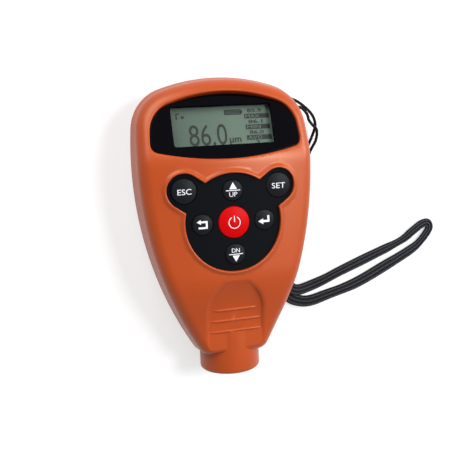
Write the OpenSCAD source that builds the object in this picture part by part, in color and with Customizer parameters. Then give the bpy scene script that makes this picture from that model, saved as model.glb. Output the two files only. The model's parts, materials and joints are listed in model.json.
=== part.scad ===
// Hand-held coating thickness gauge, lying on its back.
// X runs to the right, Y towards the display, Z out of the keypad face. Sizes are in millimetres.

/* [Body] */
// Length from the top edge to the probe tip
overall_l = 106; // [104:0.5:110]
// Width at the seam between the covers
body_w = 63.5; // [62:0.5:68]
// Thickness from the back to the keypad face
body_t = 27; // [26.5:0.25:29]
// Height of the seam and of the probe axis
seam_z = 11.5; // [11.3:0.1:12]
// Wall of both covers
wall = 2; // [1.8:0.1:2.2]
// Radius of the top edge in plan
top_r = 65; // [60:1:75]
// Radius of the shoulders in plan
shoulder_r = 15; // [13:0.5:17]
// Radius of the long sides in plan
side_r = 130; // [124:1:140]
// Radius of the two bottom corners in plan
corner_r = 6; // [5:0.5:7]
// Distance from the top edge to the widest point
wide_drop = 29.5; // [27:0.5:32]
// Radius of the crowned face, across the body
crown_r = 160; // [140:5:220]
// Fall of the face from the keypad down to the nose
nose_fall = 4.4; // [4:0.1:4.6]
// Rounding of the front edge
front_r = 4; // [3.2:0.2:4.6]
// Rounding of the back edge
back_r = 7; // [6:0.5:7.5]
// Inward lean of the walls between seam and edges
side_lean = 0.8; // [0.4:0.1:1]
// Depth of the groove along the seam
seam_groove = 0.4; // [0.2:0.1:0.5]

/* [Display head] */
// Backward tilt of the display
head_tilt = 17; // [14:1:18]
// Distance from the top edge to the bend
bend_drop = 27.5; // [27:0.5:28.5]
// Width of the rim round the window
rim_w = 5; // [4.6:0.2:5.6]
// Radius of the window's bottom edge
win_r = 84; // [75:1:100]
// Corner radius of the window
win_corner = 2; // [1:0.25:2.5]
// Depth of the lens below the rim
lens_drop = 2.4; // [2.2:0.1:2.6]
// Thickness of the lens
lens_t = 1.2; // [1:0.1:1.3]
// Width of the ledge that carries the lens
ledge_w = 1.2; // [1:0.1:1.6]
// Thickness of that ledge
ledge_t = 1.2; // [1:0.1:1.3]
// Width of the display glass
lcd_w = 40; // [39:0.5:41]
// Height of the display glass
lcd_h = 18; // [17:0.5:18]

/* [Keypad] */
// Distance from the top edge to the keypad centre
pad_drop = 49.5; // [49:0.25:50.5]
// Radius of the large lobe
pad_r = 17; // [16.8:0.1:17.2]
// Radius of the two ears
ear_r = 6; // [5.9:0.1:6.2]
// Sideways offset of the ears
ear_x = 16.6; // [16.2:0.1:17]
// Upward offset of the ears
ear_y = 11.7; // [11.4:0.1:12]
// Offset of the four small keys
key_off = 11; // [10.8:0.1:11.2]
// Radius of the four small keys
key_r = 3.6; // [3.4:0.1:3.8]
// Radius of the ear keys
ear_key_r = 4.4; // [4:0.1:4.4]
// Radius of the power key
power_r = 5.5; // [5:0.1:5.7]
// Key travel
key_travel = 0.8; // [0.6:0.1:0.9]
// Height of the keys above the face
key_rise = 0.3; // [0.2:0.05:0.6]
// Depth of the mat below the face
mat_drop = 0.45; // [0.3:0.05:0.6]
// Radius of the raised lip round the keypad
lip_r = 0.75; // [0.6:0.05:0.9]

/* [Thumb scoop] */
// Width of the scoop at the level of the keypad
scoop_w = 21.6; // [20.8:0.2:22]
// Length of the scoop up from the bottom edge
scoop_l = 28.6; // [28:0.2:28.8]
// Depth of the scoop below the level of the keypad
scoop_depth = 5; // [4.7:0.1:5.2]
// Inward lean of the scoop's walls over that depth
scoop_lean = 1.2; // [0.8:0.1:1.5]
// Spacing of the grip ribs
rib_pitch = 4; // [3.6:0.1:4.2]

/* [Nose and probe] */
// Outer radius of the nose
nose_r = 11; // [10.8:0.1:11.1]
// Length of the nose below the bottom edge
nose_l = 6.6; // [6.2:0.1:7]
// Radius of the probe housing
housing_r = 8.5; // [8.3:0.1:8.6]
// Radius of the sprung plunger
plunger_r = 5.5; // [5:0.1:5.6]
// Reach of the tip past the nose
tip_reach = 0.6; // [0.5:0.05:0.8]
// Radius of the probe tip
tip_r = 1.5; // [1.2:0.1:1.6]
// Travel of the plunger
probe_travel = 1.5; // [1:0.1:1.5]

/* [Batteries] */
// Radius of a cell
cell_r = 5.25; // [5.1:0.05:5.25]
// Length of a cell with its button
cell_l = 44.5; // [44:0.1:44.5]
// Length of a battery spring
bat_spring_l = 4.6; // [4:0.1:5]
// Gap between the compartment and the back of the display, along the body
bat_clear = 4; // [3:0.25:5]
// Thickness of the battery door
door_t = 1.8; // [1.6:0.1:1.8]

/* [Fits] */
// Gap between parts that fit into one another
fit = 0.15; // [0.1:0.01:0.2]
// Gap round the battery door
door_gap = 0.25; // [0.2:0.05:0.3]
// Running gap of the probe plunger
run_gap = 0.05; // [0.02:0.01:0.08]

/* [Strap] */
// Diameter of the thin cord loop
cord_d = 1.2; // [1:0.1:1.3]
// Width of the wrist strap
strap_w = 4.2; // [3.8:0.1:4.4]
// Thickness of the wrist strap
strap_t = 1.6; // [1.4:0.1:1.6]

/* [Hidden] */
$fn = 64;
// Facets of the round details inside the moulded shell
coarse = 20;

orange = [0.79, 0.41, 0.25];
black = [0.09, 0.1, 0.12];
steel = [0.72, 0.73, 0.75];

// Levels along the body
y_top = overall_l / 2;
y_nose = -overall_l / 2 + tip_reach;
y_bot = y_nose + nose_l;
y_wide = y_top - wide_drop;
y_bend = y_top - bend_drop;
pad_y = y_top - pad_drop;
win_low = 0;
fall_y = pad_y - pad_r - 0.5;
fall_l = fall_y - y_bot - 5.8;

// Centres of the plan arcs
top_c = [0, y_top - top_r];
side_c = [body_w / 2 - side_r, y_wide];
shoulder_c = circles_meet(top_c, top_r - shoulder_r, side_c, side_r - shoulder_r);
top_a = angle_of(shoulder_c - top_c);
shoulder_a = angle_of(shoulder_c - side_c);
edge_r = 0.3;
top_n = 7;
shoulder_n = 7;
side_n = 18;
corner_n = 3;
chord_n = top_n + shoulder_n + side_n + corner_n;
cap_n = 8;
ring_n = 2 * chord_n + cap_n;

// Keypad levels
ear_a = angle_of([ear_x, ear_y]);
ear_reach = norm([ear_x, ear_y]);
lcd_y = 12.4;
lcd_x = -0.7;
lcd_t = 1.4;
light_t = 1.8;
frame_t = 1;
lens_floor = -lens_drop - lens_t;
ledge_low = lens_floor - ledge_t;
board_z = body_t - 8;
board_t = 1.6;
board_top = board_z + board_t;
board_inset = 2.6;
board_low = 21.5;
board_clear = 1.5;
sounder_r = 4;
sounder_t = 3;
ribbon_w = 18;
contact_t = 0.2;
pill_z = board_top + contact_t + key_travel + 0.1;
web_z = body_t - 3;
mat_low = body_t - 5;
mat_flange = 1.2;
mat_wall = 0.9;
key_lip = 0.45;
key_lip_t = 0.8;
key_seat = 0.1;
pill_r = 1.8;
keys = [
  ["left_key", [-ear_x, ear_y], ear_key_r], ["right_key", [ear_x, ear_y], ear_key_r],
  ["up_key", [0, key_off], key_r], ["down_key", [0, -key_off], key_r],
  ["back_key", [-key_off, 0], key_r], ["enter_key", [key_off, 0], key_r], ["power_key", [0, 0], power_r]
];

// Scoop, battery and screw layout
scoop_arch = 1.2;
arch_n = 56;
scoop_flat = 8.8;
flat_y = y_bot + scoop_flat;
scoop_run = scoop_l - scoop_flat + 0.6;
scoop_r = (scoop_run * scoop_run + scoop_depth * scoop_depth) / (2 * scoop_depth);
scoop_top = y_bot + scoop_l - scoop_arch * scoop_w / 2;
rib_r = 0.6;
rib_y = flat_y + 2 * rib_pitch + 1;
contact_w = 0.4;
bay_l = cell_l + bat_spring_l + 2 * contact_w + 0.5;
bay_w = 4 * cell_r + 1.4;
bay_wall = 1.4;
door_z = door_gap;
door_in = door_z + door_t;
cell_z = door_in + 0.35 + cell_r;
bay_ceil = cell_z + cell_r + 0.3;
bay_roof = 1.2;
light_low = ledge_low - 0.1 - lcd_t - light_t;
clear_l = (body_t + light_low * cos(head_tilt) - bay_ceil - bay_roof - 0.5) / sin(head_tilt);
clear_y = y_bend + clear_l * cos(head_tilt) + light_low * sin(head_tilt);
bay_top = clear_y - bay_wall - bat_clear;
bay_bot = bay_top - bay_l;
door_w = bay_w + 4;
door_top = bay_top + 4.6;
door_bot = bay_bot - 2.4;
tab_w = 5;
tab_x = 8;
tab_reach = 2.2;
tab_t = 1.05;
latch_w = 8;
boss_r = 3;
post_r = 2.3;
screw_r = 1;
screw_z = 5.5;
screw_bite = 7;
head_r = 2.2;
head_t = 1.4;
head_gap = 0.2;
pin_screw_r = 0.8;
pin_head_r = 1.6;
pin_head_t = 1;
pin_bite = 1.8;
bosses = [[body_w / 2 - 6.75, y_top - 31], [14.5, door_bot - door_gap - head_r - head_gap - 0.6]];
posts = [[pad_r + 4, pad_y], [pad_r - 4, pad_y - pad_r - 0.5]];

// Probe stations, measured from the origin towards the tip
s_nose = -y_nose;
s_bot = -y_bot;
s_front = s_nose - 0.6;
probe_l = 0.72 * (s_nose + bay_bot - bay_wall);
s_back = s_nose - probe_l;
s_cap = s_back + 2;
s_stop = s_cap + 7;
s_groove = (s_cap + s_stop) / 2;
s_hollow = s_stop + 4;
chamber_r = housing_r - 1.9;
bore_r = housing_r + 0.1;
flange_t = 1.6;
tail_r = 2.2;
spring_r = 4.2;
nose_edge = 1.2;
nose_root = scoop_flat + 0.45;
wire_r = 0.35;

// Lanyard post in a notch of the right shoulder
lug_a = 33;
lug_in = 2.4;
lug_r = 1.1;
lug_w = 5.8;
lug_depth = 5.4;
lug_z = 4;
lug_h = 4.8;
lug_wall = 1.4;

// Routes of the two cords, laid on the resting plane
joiner_at = [28.6, -13];
joiner_turn = -15.6;
joiner_l = 9;
joiner_w = 5.8;
joiner_h = 4;
cord_route = [
  [29.5, -8.5, 2], [30.4, -5.2, 1.6], [33, 4, 0.8], [34.6, 13, 0.8], [35.6, 20, 0.8], [37.4, 26, 1.6],
  [38.8, 29.5, 2.4], [40, 33.5, 3.6], [39.9, 35.8, 4.2], [38.6, 38.5, 4.8], [35.9, 41.2, 5.4], [32, 43.9, 6],
  [28.2, 45, 6.4], [25.6, 43.8, 6.4], [24.6, 42.5, 6.4], [25, 41, 6.4], [26.3, 40.1, 6.4], [27.8, 40.4, 6.4],
  [30.2, 41.6, 6.4], [33.6, 41.4, 6.2], [36.1, 39, 5.8], [36.9, 36.7, 5.6], [38.4, 34.8, 5.4],
  [40.2, 32.8, 5], [40.3, 29, 3.6], [38.6, 24.5, 1.4], [37.4, 20, 0.8], [36.4, 13, 0.8], [35, 4, 0.8],
  [32.4, -4.4, 1.6], [31.2, -8.9, 2]
];
strap_route = [
  [27.4, -17.3, 3], [26.8, -20.2, 3], [26.6, -24, 3], [28.2, -27.6, 2.9], [31.6, -29.2, 2.3],
  [37.3, -28.4, 1.1], [43.7, -26.4, 1], [50.3, -23.8, 1], [63.7, -19, 1], [77.3, -14, 1], [83, -10.4, 1],
  [87.2, -7.8, 1],
  [90, -7.6, 1], [90.4, -10.2, 1], [86.6, -14.8, 1], [81.8, -18.2, 1], [70.4, -23.6, 1], [56.8, -29.5, 1],
  [43.6, -33, 1], [37.6, -34.4, 1], [33.2, -34.2, 1], [28.6, -32.2, 1], [25.8, -27.6, 1], [25.9, -22.2, 1],
  [27.4, -17.3, 1]
];

function angle_of(v) = atan2(v.y, v.x);

// Meeting point of two circles, on the side that lies to the right and up
function circles_meet(c0, r0, c1, r1) =
  let (d = norm(c1 - c0), u = (c1 - c0) / d, a = (r0 * r0 - r1 * r1 + d * d) / (2 * d))
  c0 + a * u + sqrt(r0 * r0 - a * a) * [u.y, -u.x];

function arc(c, r, a0, a1, n, from = 1) =
  [for (i = [from:n]) let (a = a0 + (a1 - a0) * i / n) c + r * [cos(a), sin(a)]];

// Right half of the plan outline, moved inward by d: tangent arcs of the top, shoulder, side and corner
function plan_right(d) =
  let (
    r = max(corner_r - d, edge_r),
    reach = side_r - d - r,
    meet_y = y_wide - sqrt(pow(reach, 2) - pow(side_c.x - edge_r, 2)),
    cy = max(y_bot + d + r, meet_y),
    cx = side_c.x + sqrt(pow(reach, 2) - pow(cy - y_wide, 2)),
    a = angle_of([cx, cy] - side_c)
  )
  concat(
    arc(top_c, top_r - d, 90, top_a, top_n),
    arc(shoulder_c, shoulder_r - d, top_a, shoulder_a, shoulder_n),
    arc(side_c, side_r - d, shoulder_a, a, side_n),
    arc([cx, cy], r, a, -90, corner_n)
  );

// Whole outline, clockwise from the top, with the bottom edge divided like the crowned cap
function plan(d) =
  let (right = plan_right(d), last = right[chord_n - 1])
  concat(
    [[0, y_top - d]], right,
    [for (k = [1:cap_n - 1]) [last.x * (1 - 2 * k / cap_n), last.y]],
    [for (i = [chord_n - 1:-1:0]) [-right[i].x, right[i].y]]
  );

// Height of the front face: crowned across, bent back for the display head and eased down to the nose
function bend_fall(t, b) = t <= -b ? 0 : t >= b ? t : (t + b) * (t + b) / (4 * b);
function ease(t) = let (u = min(max(t, 0), 1)) u * u * (3 - 2 * u);
function face_z(x, y) =
  body_t - x * x / (2 * crown_r)
    - tan(head_tilt) * bend_fall(y - y_bend, 2)
    - nose_fall * ease((fall_y - y) / fall_l);

function level_ring(d, z) = [for (p = plan(d)) [p.x, p.y, z]];
function face_ring(d, drop) = [for (p = plan(d)) [p.x, p.y, face_z(p.x, p.y) - drop]];

// Points inside the crowned cap, in rows across the body
function cap_points(d, drop) =
  let (right = plan_right(d))
  [for (i = [0:chord_n - 2]) for (k = [1:cap_n - 1])
    let (x = right[i].x * (1 - 2 * k / cap_n), y = right[i].y) [x, y, face_z(x, y) - drop]];

// Closed skin through a stack of rings, with a flat floor and a flat or crowned top
module skin(rings, cap = []) {
  top = (len(rings) - 1) * ring_n;
  inner = len(rings) * ring_n;
  function at(i, k) =
    i == 0 ? top : i == chord_n ? top + chord_n + k : k == 0 ? top + i : k == cap_n ? top + ring_n - i
      : inner + (i - 1) * (cap_n - 1) + k - 1;
  walls = [for (r = [0:len(rings) - 2]) for (j = [0:ring_n - 1])
    let (a = r * ring_n + j, b = r * ring_n + (j + 1) % ring_n)
    each [[a, b, b + ring_n], [a, b + ring_n, a + ring_n]]];
  lid = len(cap) == 0 ? [[for (j = [0:ring_n - 1]) top + j]]
    : [for (i = [0:chord_n - 1]) for (k = [0:cap_n - 1])
        each i == 0 ? [[at(0, 0), at(1, k), at(1, k + 1)]]
          : [[at(i, k), at(i + 1, k), at(i + 1, k + 1)], [at(i, k), at(i + 1, k + 1), at(i, k + 1)]]];
  polyhedron(
    points = concat([for (r = rings) each r], cap),
    faces = concat([[for (j = [ring_n - 1:-1:0]) j]], walls, lid),
    convexity = 8
  );
}

// Places children on the tilted plane of the display
module head_frame() {
  translate([0, y_bend, body_t]) rotate([-head_tilt, 0, 0]) children();
}

// Places children on the probe axis, with their Z towards the tip
module probe_axis() {
  translate([0, 0, seam_z]) rotate([90, 0, 0]) children();
}

module on_both_sides(points) {
  for (p = points) for (side = [-1, 1]) translate([side * p.x, p.y, 0]) children();
}

module round_box(size, r) {
  square([size.x, size.y - 2 * r], center = true);
  square([size.x - 2 * r, size.y], center = true);
  for (x = [-1, 1]) for (y = [-1, 1])
    translate([x * (size.x / 2 - r), y * (size.y / 2 - r)]) circle(r);
}

// Tube of an oval section swept along a route, with a flat end at each end of the route
function spline(p, i, t) =
  let (a = p[max(i - 1, 0)], b = p[i], c = p[i + 1], d = p[min(i + 2, len(p) - 1)])
  b + t / 2 * (c - a + t * (2 * a - 5 * b + 4 * c - d + t * (3 * (b - c) + d - a)));
function smooth(p, n) =
  concat([for (i = [0:len(p) - 2]) for (k = [0:n - 1]) spline(p, i, k / n)], [p[len(p) - 1]]);
function unit(v) = v / norm(v);
function heading(p, i) = unit(p[min(i + 1, len(p) - 1)] - p[max(i - 1, 0)]);

module sweep(path, half_w, half_t, up, sides) {
  count = len(path);
  points = [for (i = [0:count - 1])
    let (f = heading(path, i), s = unit(cross(up, f)), v = cross(f, s))
    for (k = [0:sides - 1]) path[i] + half_w * cos(360 * k / sides) * s + half_t * sin(360 * k / sides) * v];
  polyhedron(
    points = points,
    faces = concat(
      [[for (k = [0:sides - 1]) k], [for (k = [sides - 1:-1:0]) (count - 1) * sides + k]],
      [for (i = [0:count - 2]) for (k = [0:sides - 1])
        let (a = i * sides + k, b = i * sides + (k + 1) % sides)
        each [[a, a + sides, b + sides], [a, b + sides, b]]]
    ),
    convexity = 8
  );
}

function coil(r0, r1, length, turns, steps) =
  [for (i = [0:turns * steps]) let (t = i / (turns * steps), r = r0 + (r1 - r0) * t)
    [r * cos(360 * turns * t), r * sin(360 * turns * t), length * t]];

// Keypad outline: one large lobe and two ears on straight necks
module pad_2d(d) {
  circle(pad_r + d);
  for (side = [0, 1]) mirror([side, 0]) rotate(ear_a) {
    translate([0, -ear_r - d]) square([ear_reach, 2 * (ear_r + d)]);
    translate([ear_reach, 0]) circle(ear_r + d);
  }
}

// The same outline as a list of points, for the lip
function pad_right(d) =
  let (a = asin((ear_r + d) / (pad_r + d)))
  concat(
    arc([0, 0], pad_r + d, 90, ear_a + a, 3, 0),
    arc([ear_x, ear_y], ear_r + d, ear_a + 90, ear_a - 90, 9, 0),
    arc([0, 0], pad_r + d, ear_a - a, -90, 8, 0)
  );
function pad_loop(d) =
  let (right = pad_right(d), n = len(right))
  concat(right, [for (i = [n - 2:-1:1]) [-right[i].x, right[i].y]]);

// Solid under the crowned face, lowered by drop
module under_crown(drop) {
  translate([0, y_top, body_t - drop - crown_r])
    rotate([90, 0, 0]) cylinder(r = crown_r, h = overall_l, $fn = 256);
}

module window_2d(d) {
  offset(delta = -d) offset(r = win_corner, $fn = coarse) offset(delta = -win_corner) intersection() {
    polygon([for (p = plan(rim_w)) [p.x, (p.y - y_bend) / cos(head_tilt)]]);
    translate([0, win_low + win_r]) circle(win_r, $fn = 180);
  }
}

// Thumb scoop: arched slot with leaning walls, above a floor that is flat below and rises to the face
function scoop_half(z) = scoop_w / 2 - scoop_lean * (body_t - z) / scoop_depth;
function scoop_z(y) = body_t - scoop_depth + scoop_r - sqrt(pow(scoop_r, 2) - pow(max(y - flat_y, 0), 2));

module scoop(grow) {
  intersection() {
    hull() for (z = [seam_z, body_t + 1]) let (half = scoop_half(z) + grow) translate([0, 0, z])
      linear_extrude(0.01) {
        translate([0, scoop_top]) scale([1, scoop_arch]) circle(half, $fn = arch_n);
        translate([-half, y_bot - 1]) square([2 * half, scoop_top - y_bot + 1]);
      }
    hull() for (y = [y_bot - scoop_flat, flat_y]) translate([-body_w / 2, y, body_t - scoop_depth + scoop_r])
      rotate([0, 90, 0]) cylinder(r = scoop_r + grow, h = body_w, $fn = 180);
  }
}

// Half of the nose, with a rounded end
module nose_half(turn) {
  probe_axis() rotate(turn) rotate_extrude(angle = 180) {
    translate([0, s_bot - nose_root]) square([nose_r, nose_root + nose_l - nose_edge]);
    translate([0, s_nose - nose_edge]) square([nose_r - nose_edge, nose_edge]);
    translate([nose_r - nose_edge, s_nose - nose_edge]) circle(nose_edge, $fn = coarse);
  }
}

module probe_bore() {
  probe_axis() translate([0, 0, s_back - 1]) cylinder(r = bore_r, h = s_nose - s_back + 2);
}

module pad_lip() {
  loop = pad_loop(lip_r);
  for (i = [0:len(loop) - 1]) hull() for (p = [loop[i], loop[(i + 1) % len(loop)]])
    translate([p.x, pad_y + p.y, face_z(p.x, pad_y + p.y) - 0.1]) sphere(lip_r, $fn = 8);
}

module grip_ribs() {
  for (i = [0:2]) let (y = rib_y - i * rib_pitch, reach = scoop_half(scoop_z(y)) - (i == 0 ? 1.4 : 0))
    hull() for (side = [-1, 1]) translate([side * reach, y, scoop_z(y) - 0.2]) sphere(rib_r, $fn = 10);
}

// Front cover: crowned shell with the display window, keypad opening, thumb scoop and half of the nose
module front_cover() {
  edge = [0, 18, 36, 54, 72, 90];
  color(orange) {
    difference() {
      union() {
        skin(
          concat(
            [level_ring(seam_groove, seam_z), level_ring(0, seam_z + seam_groove)],
            [for (a = edge) face_ring(side_lean + front_r * (1 - cos(a)), front_r * (1 - sin(a)))]
          ),
          cap_points(side_lean + front_r, 0)
        );
        nose_half(0);
        pad_lip();
      }
      difference() {
        skin(
          concat(
            [level_ring(wall, seam_z - 1), level_ring(wall, seam_z + seam_groove)],
            [for (a = [0, 45, 90]) let (r = front_r - wall / 2)
              face_ring(wall + side_lean + r * (1 - cos(a)), wall + r * (1 - sin(a)))]
          ),
          cap_points(wall + side_lean + front_r - wall / 2, wall)
        );
        scoop(wall - 0.4);
        nose_half(0);
        head_frame() translate([0, 0, ledge_low]) linear_extrude(20) window_2d(-ledge_w);
        on_both_sides(bosses) translate([0, 0, seam_z]) cylinder(r = boss_r, h = body_t, $fn = coarse);
        on_both_sides(posts) translate([0, 0, board_top]) cylinder(r = post_r, h = body_t, $fn = coarse);
      }
      difference() {
        scoop(0);
        nose_half(0);
      }
      probe_bore();
      head_frame() {
        translate([0, 0, lens_floor]) linear_extrude(20) window_2d(0);
        translate([0, 0, ledge_low - 1]) linear_extrude(20) window_2d(ledge_w);
      }
      translate([0, pad_y, mat_low]) linear_extrude(body_t) pad_2d(0);
      on_both_sides(bosses) translate([0, 0, seam_z - 1])
        cylinder(r = screw_r + 2 * run_gap, h = screw_bite + 2, $fn = coarse);
      on_both_sides(posts) translate([0, 0, board_top - 1])
        cylinder(r = pin_screw_r + 2 * run_gap, h = pin_bite + 1.4, $fn = coarse);
    }
    grip_ribs();
  }
}

module lug_frame() {
  translate([shoulder_c.x, shoulder_c.y, 0]) rotate(lug_a) translate([shoulder_r, 0, 0]) children();
}

module door_plate(grow) {
  translate([0, (door_top + door_bot) / 2])
    round_box([door_w + 2 * grow, door_top - door_bot + 2 * grow], 2 + grow);
}

// Battery bay with its ledge, open towards the back
module battery_bay() {
  mid = (bay_top + bay_bot) / 2;
  difference() {
    union() {
      translate([0, 0, wall / 2]) linear_extrude(2.6) door_plate(door_gap + 1.4);
      translate([-bay_w / 2 - bay_wall, bay_bot - bay_wall, wall / 2])
        cube([bay_w + 2 * bay_wall, bay_l + 2 * bay_wall, bay_ceil + bay_roof - wall / 2]);
    }
    translate([-bay_w / 2, bay_bot, -1]) cube([bay_w, bay_l, bay_ceil + 1]);
    translate([0, 0, -1]) linear_extrude(door_in + 1.1) door_plate(door_gap);
    for (side = [-1, 1]) translate([side * tab_x - tab_w / 2 - 0.3, bay_top + bay_wall + 0.1, door_in])
      cube([tab_w + 0.6, 8, 5]);
    translate([-latch_w / 2 - 0.4, door_bot - 1, door_in]) cube([latch_w + 0.8, 1.9, 5]);
  }
}

// Rear cover: flat back, battery bay, screw posts, probe cradle and the lanyard notch
module rear_cover() {
  edge = [90, 72, 54, 36, 18, 0];
  color(orange) {
    difference() {
      union() {
        skin(concat(
          [for (a = edge) level_ring(side_lean + back_r * (1 - cos(a)), back_r * (1 - sin(a)))],
          [level_ring(0, seam_z - seam_groove), level_ring(seam_groove, seam_z)]
        ));
        nose_half(180);
      }
      difference() {
        skin(concat(
          [for (a = [90, 45, 0]) let (r = back_r - wall)
            level_ring(wall + side_lean + r * (1 - cos(a)), wall + r * (1 - sin(a)))],
          [level_ring(wall, seam_z - seam_groove), level_ring(wall, seam_z + 1)]
        ));
        nose_half(180);
        on_both_sides(bosses) cylinder(r = boss_r, h = seam_z);
        probe_axis() translate([0, 0, s_groove - 1.6]) cylinder(r = nose_r, h = 3.2);
        lug_frame() translate([-lug_depth - lug_wall, -lug_w / 2 - lug_wall, 0])
          cube([10, lug_w + 2 * lug_wall, lug_z + lug_h + lug_wall]);
      }
      difference() {
        probe_bore();
        probe_axis() translate([0, 0, s_groove - 0.6]) difference() {
          cylinder(r = nose_r, h = 1.2);
          translate([0, 0, -1]) cylinder(r = bore_r - 0.85, h = 4);
        }
      }
      translate([0, 0, -1]) linear_extrude(wall + 2) door_plate(door_gap);
      on_both_sides(bosses) {
        translate([0, 0, -1]) cylinder(r = screw_r + 0.35, h = body_t);
        translate([0, 0, -1]) cylinder(r = head_r + head_gap, h = screw_z + 1);
      }
      lug_frame() translate([-lug_depth, -lug_w / 2, lug_z]) cube([10, lug_w, lug_h]);
    }
    battery_bay();
    lug_frame() translate([-lug_in, 0, lug_z - 0.5]) cylinder(r = lug_r, h = lug_h + 1);
  }
}

// Battery door: plate with two hinge tabs, a latch tongue and grip grooves
module battery_door() {
  color(orange) {
    difference() {
      translate([0, 0, door_z]) linear_extrude(door_t) door_plate(0);
      for (i = [0:3]) translate([-7, door_bot + 5 + 2 * i, door_z - 0.25])
        rotate([0, 90, 0]) cylinder(r = 0.6, h = 14);
    }
    for (side = [-1, 1]) translate([side * tab_x - tab_w / 2, door_top - 0.8, door_in]) {
      cube([tab_w, 0.8, 0.2 + tab_t]);
      translate([0, 0, 0.2]) cube([tab_w, 0.8 + tab_reach, tab_t]);
    }
    translate([-latch_w / 2, door_bot + 0.1, door_in - 0.1]) cube([latch_w, 0.6, 2.8]);
  }
}

module display_lens() {
  color(black) head_frame() translate([0, 0, lens_floor]) linear_extrude(lens_t) window_2d(fit);
}

module lcd_plate(size, z, t) {
  head_frame() translate([lcd_x - size.x / 2, lcd_y - size.y / 2, z - t]) cube([size.x, size.y, t]);
}

module lcd_glass() {
  color([0.46, 0.52, 0.43]) lcd_plate([lcd_w, lcd_h], ledge_low - 0.05, lcd_t);
}

module lcd_backlight() {
  color([0.9, 0.92, 0.9]) lcd_plate([lcd_w, lcd_h], ledge_low - 0.1 - lcd_t, light_t);
}

module lcd_frame() {
  deep = lcd_t + light_t + 0.2;
  color([0.85, 0.86, 0.86]) difference() {
    lcd_plate([lcd_w + 2 * frame_t, lcd_h + 2 * frame_t], ledge_low - 0.05, deep);
    lcd_plate([lcd_w + 2 * fit, lcd_h + 2 * fit], ledge_low + 1, deep + 2);
    head_frame() translate([lcd_x - ribbon_w / 2, lcd_y - lcd_h / 2 - 3, ledge_low - 0.1 - lcd_t])
      cube([ribbon_w, 4, lcd_t - 0.2]);
  }
}

// Flat ribbon from the display glass down to its connector on the board
module lcd_ribbon() {
  c = cos(head_tilt);
  s = sin(head_tilt);
  low = lcd_y - lcd_h / 2 - fit;
  deep = ledge_low - 0.05 - lcd_t / 2;
  t = 0.15;
  start = [y_bend + low * c + deep * s, body_t - low * s + deep * c];
  bend = start + [-1.6 * c, 1.6 * s];
  end = [y_bend - 2.4, board_top + 0.8];
  side = [t * s, t * c];
  color([0.75, 0.5, 0.2]) translate([lcd_x - 8, 0, 0]) rotate([90, 0, 90]) linear_extrude(16)
    polygon([start + side, bend + side, end + [0, t], end - [0, t], bend - side, start - side]);
}

// Keypad mat: plug that fills the opening, with a flange behind the cover and a pocket for the keys
module keypad_mat() {
  color(black) translate([0, pad_y, 0]) difference() {
    union() {
      intersection() {
        translate([0, 0, mat_low]) linear_extrude(body_t) pad_2d(-fit);
        translate([0, -pad_y, 0]) under_crown(mat_drop);
      }
      intersection() {
        translate([0, 0, mat_low]) linear_extrude(body_t) pad_2d(mat_flange);
        translate([0, -pad_y, 0]) under_crown(wall + 0.1);
      }
    }
    translate([0, 0, mat_low - 1]) linear_extrude(web_z - mat_low + 1) pad_2d(-mat_wall);
    for (k = keys) translate([k[1].x, k[1].y, 0]) cylinder(r = k[2] + fit, h = 2 * body_t);
  }
}

// Key: domed cap, lip behind the mat, and a contact pill above the board
module key(i, tint) {
  at = keys[i][1];
  r = keys[i][2];
  top = face_z(at.x, pad_y + at.y) + key_rise;
  dome_r = 4 * r;
  lip_top = web_z - key_seat;
  color(tint) translate([at.x, pad_y + at.y, 0]) {
    translate([0, 0, pill_z]) cylinder(r = pill_r, h = lip_top - pill_z);
    translate([0, 0, lip_top - key_lip_t]) cylinder(r = r + key_lip, h = key_lip_t);
    intersection() {
      translate([0, 0, lip_top - 0.1]) cylinder(r = r, h = body_t);
      translate([0, 0, top - dome_r]) sphere(dome_r, $fn = 96);
    }
  }
}

module left_key() { key(0, black); }
module right_key() { key(1, black); }
module up_key() { key(2, black); }
module down_key() { key(3, black); }
module back_key() { key(4, black); }
module enter_key() { key(5, black); }
module power_key() { key(6, [0.9, 0.15, 0.2]); }

module main_board() {
  color([0.1, 0.4, 0.2]) difference() {
    translate([0, 0, board_z]) linear_extrude(board_t) intersection() {
      polygon(plan(wall + side_lean + board_inset));
      translate([-body_w / 2, pad_y - board_low]) square([body_w, y_bend - board_clear - pad_y + board_low]);
    }
    on_both_sides(bosses) cylinder(r = boss_r + 0.5, h = body_t);
    on_both_sides(posts) cylinder(r = pin_screw_r + 0.2, h = body_t);
  }
}

// Parts soldered to the board: processor, amplifier, regulator, sounder and the display connector
module board_chips() {
  chips = [
    [-4, -6, 9, 9, 1.4], [9, -8, 6, 5, 1.6], [-14, 3, 5, 6, 1.8], [7, 8, 8, 4, 1.2], [-14, -8, 4, 3, 1]
  ];
  color([0.12, 0.12, 0.13]) {
    for (c = chips) translate([c[0] - c[2] / 2, pad_y + c[1] - c[3] / 2, board_z - c[4]])
      cube([c[2], c[3], c[4]]);
    translate([16, pad_y + 8, board_z - sounder_t]) cylinder(r = sounder_r, h = sounder_t);
    translate([lcd_x - ribbon_w / 2, y_bend - 5, board_top]) cube([ribbon_w, 2.6, 1.4]);
  }
}

module key_contacts() {
  color([0.85, 0.7, 0.35]) for (k = keys)
    translate([k[1].x, pad_y + k[1].y, board_top]) cylinder(r = pill_r + 0.3, h = contact_t);
}

module screw(r, length, cap_r, cap_t, recess) {
  difference() {
    union() {
      cylinder(r = r, h = length);
      translate([0, 0, -cap_t]) cylinder(r = cap_r, h = cap_t);
    }
    for (a = [0, 90]) rotate(a) translate([-recess, -recess / 5, -cap_t - 1])
      cube([2 * recess, recess / 2.5, 1 + cap_t / 2]);
  }
}

module board_screws() {
  color(steel) on_both_sides(posts) translate([0, 0, board_z])
    screw(pin_screw_r, board_t + pin_bite, pin_head_r, pin_head_t, 1);
}

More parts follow.
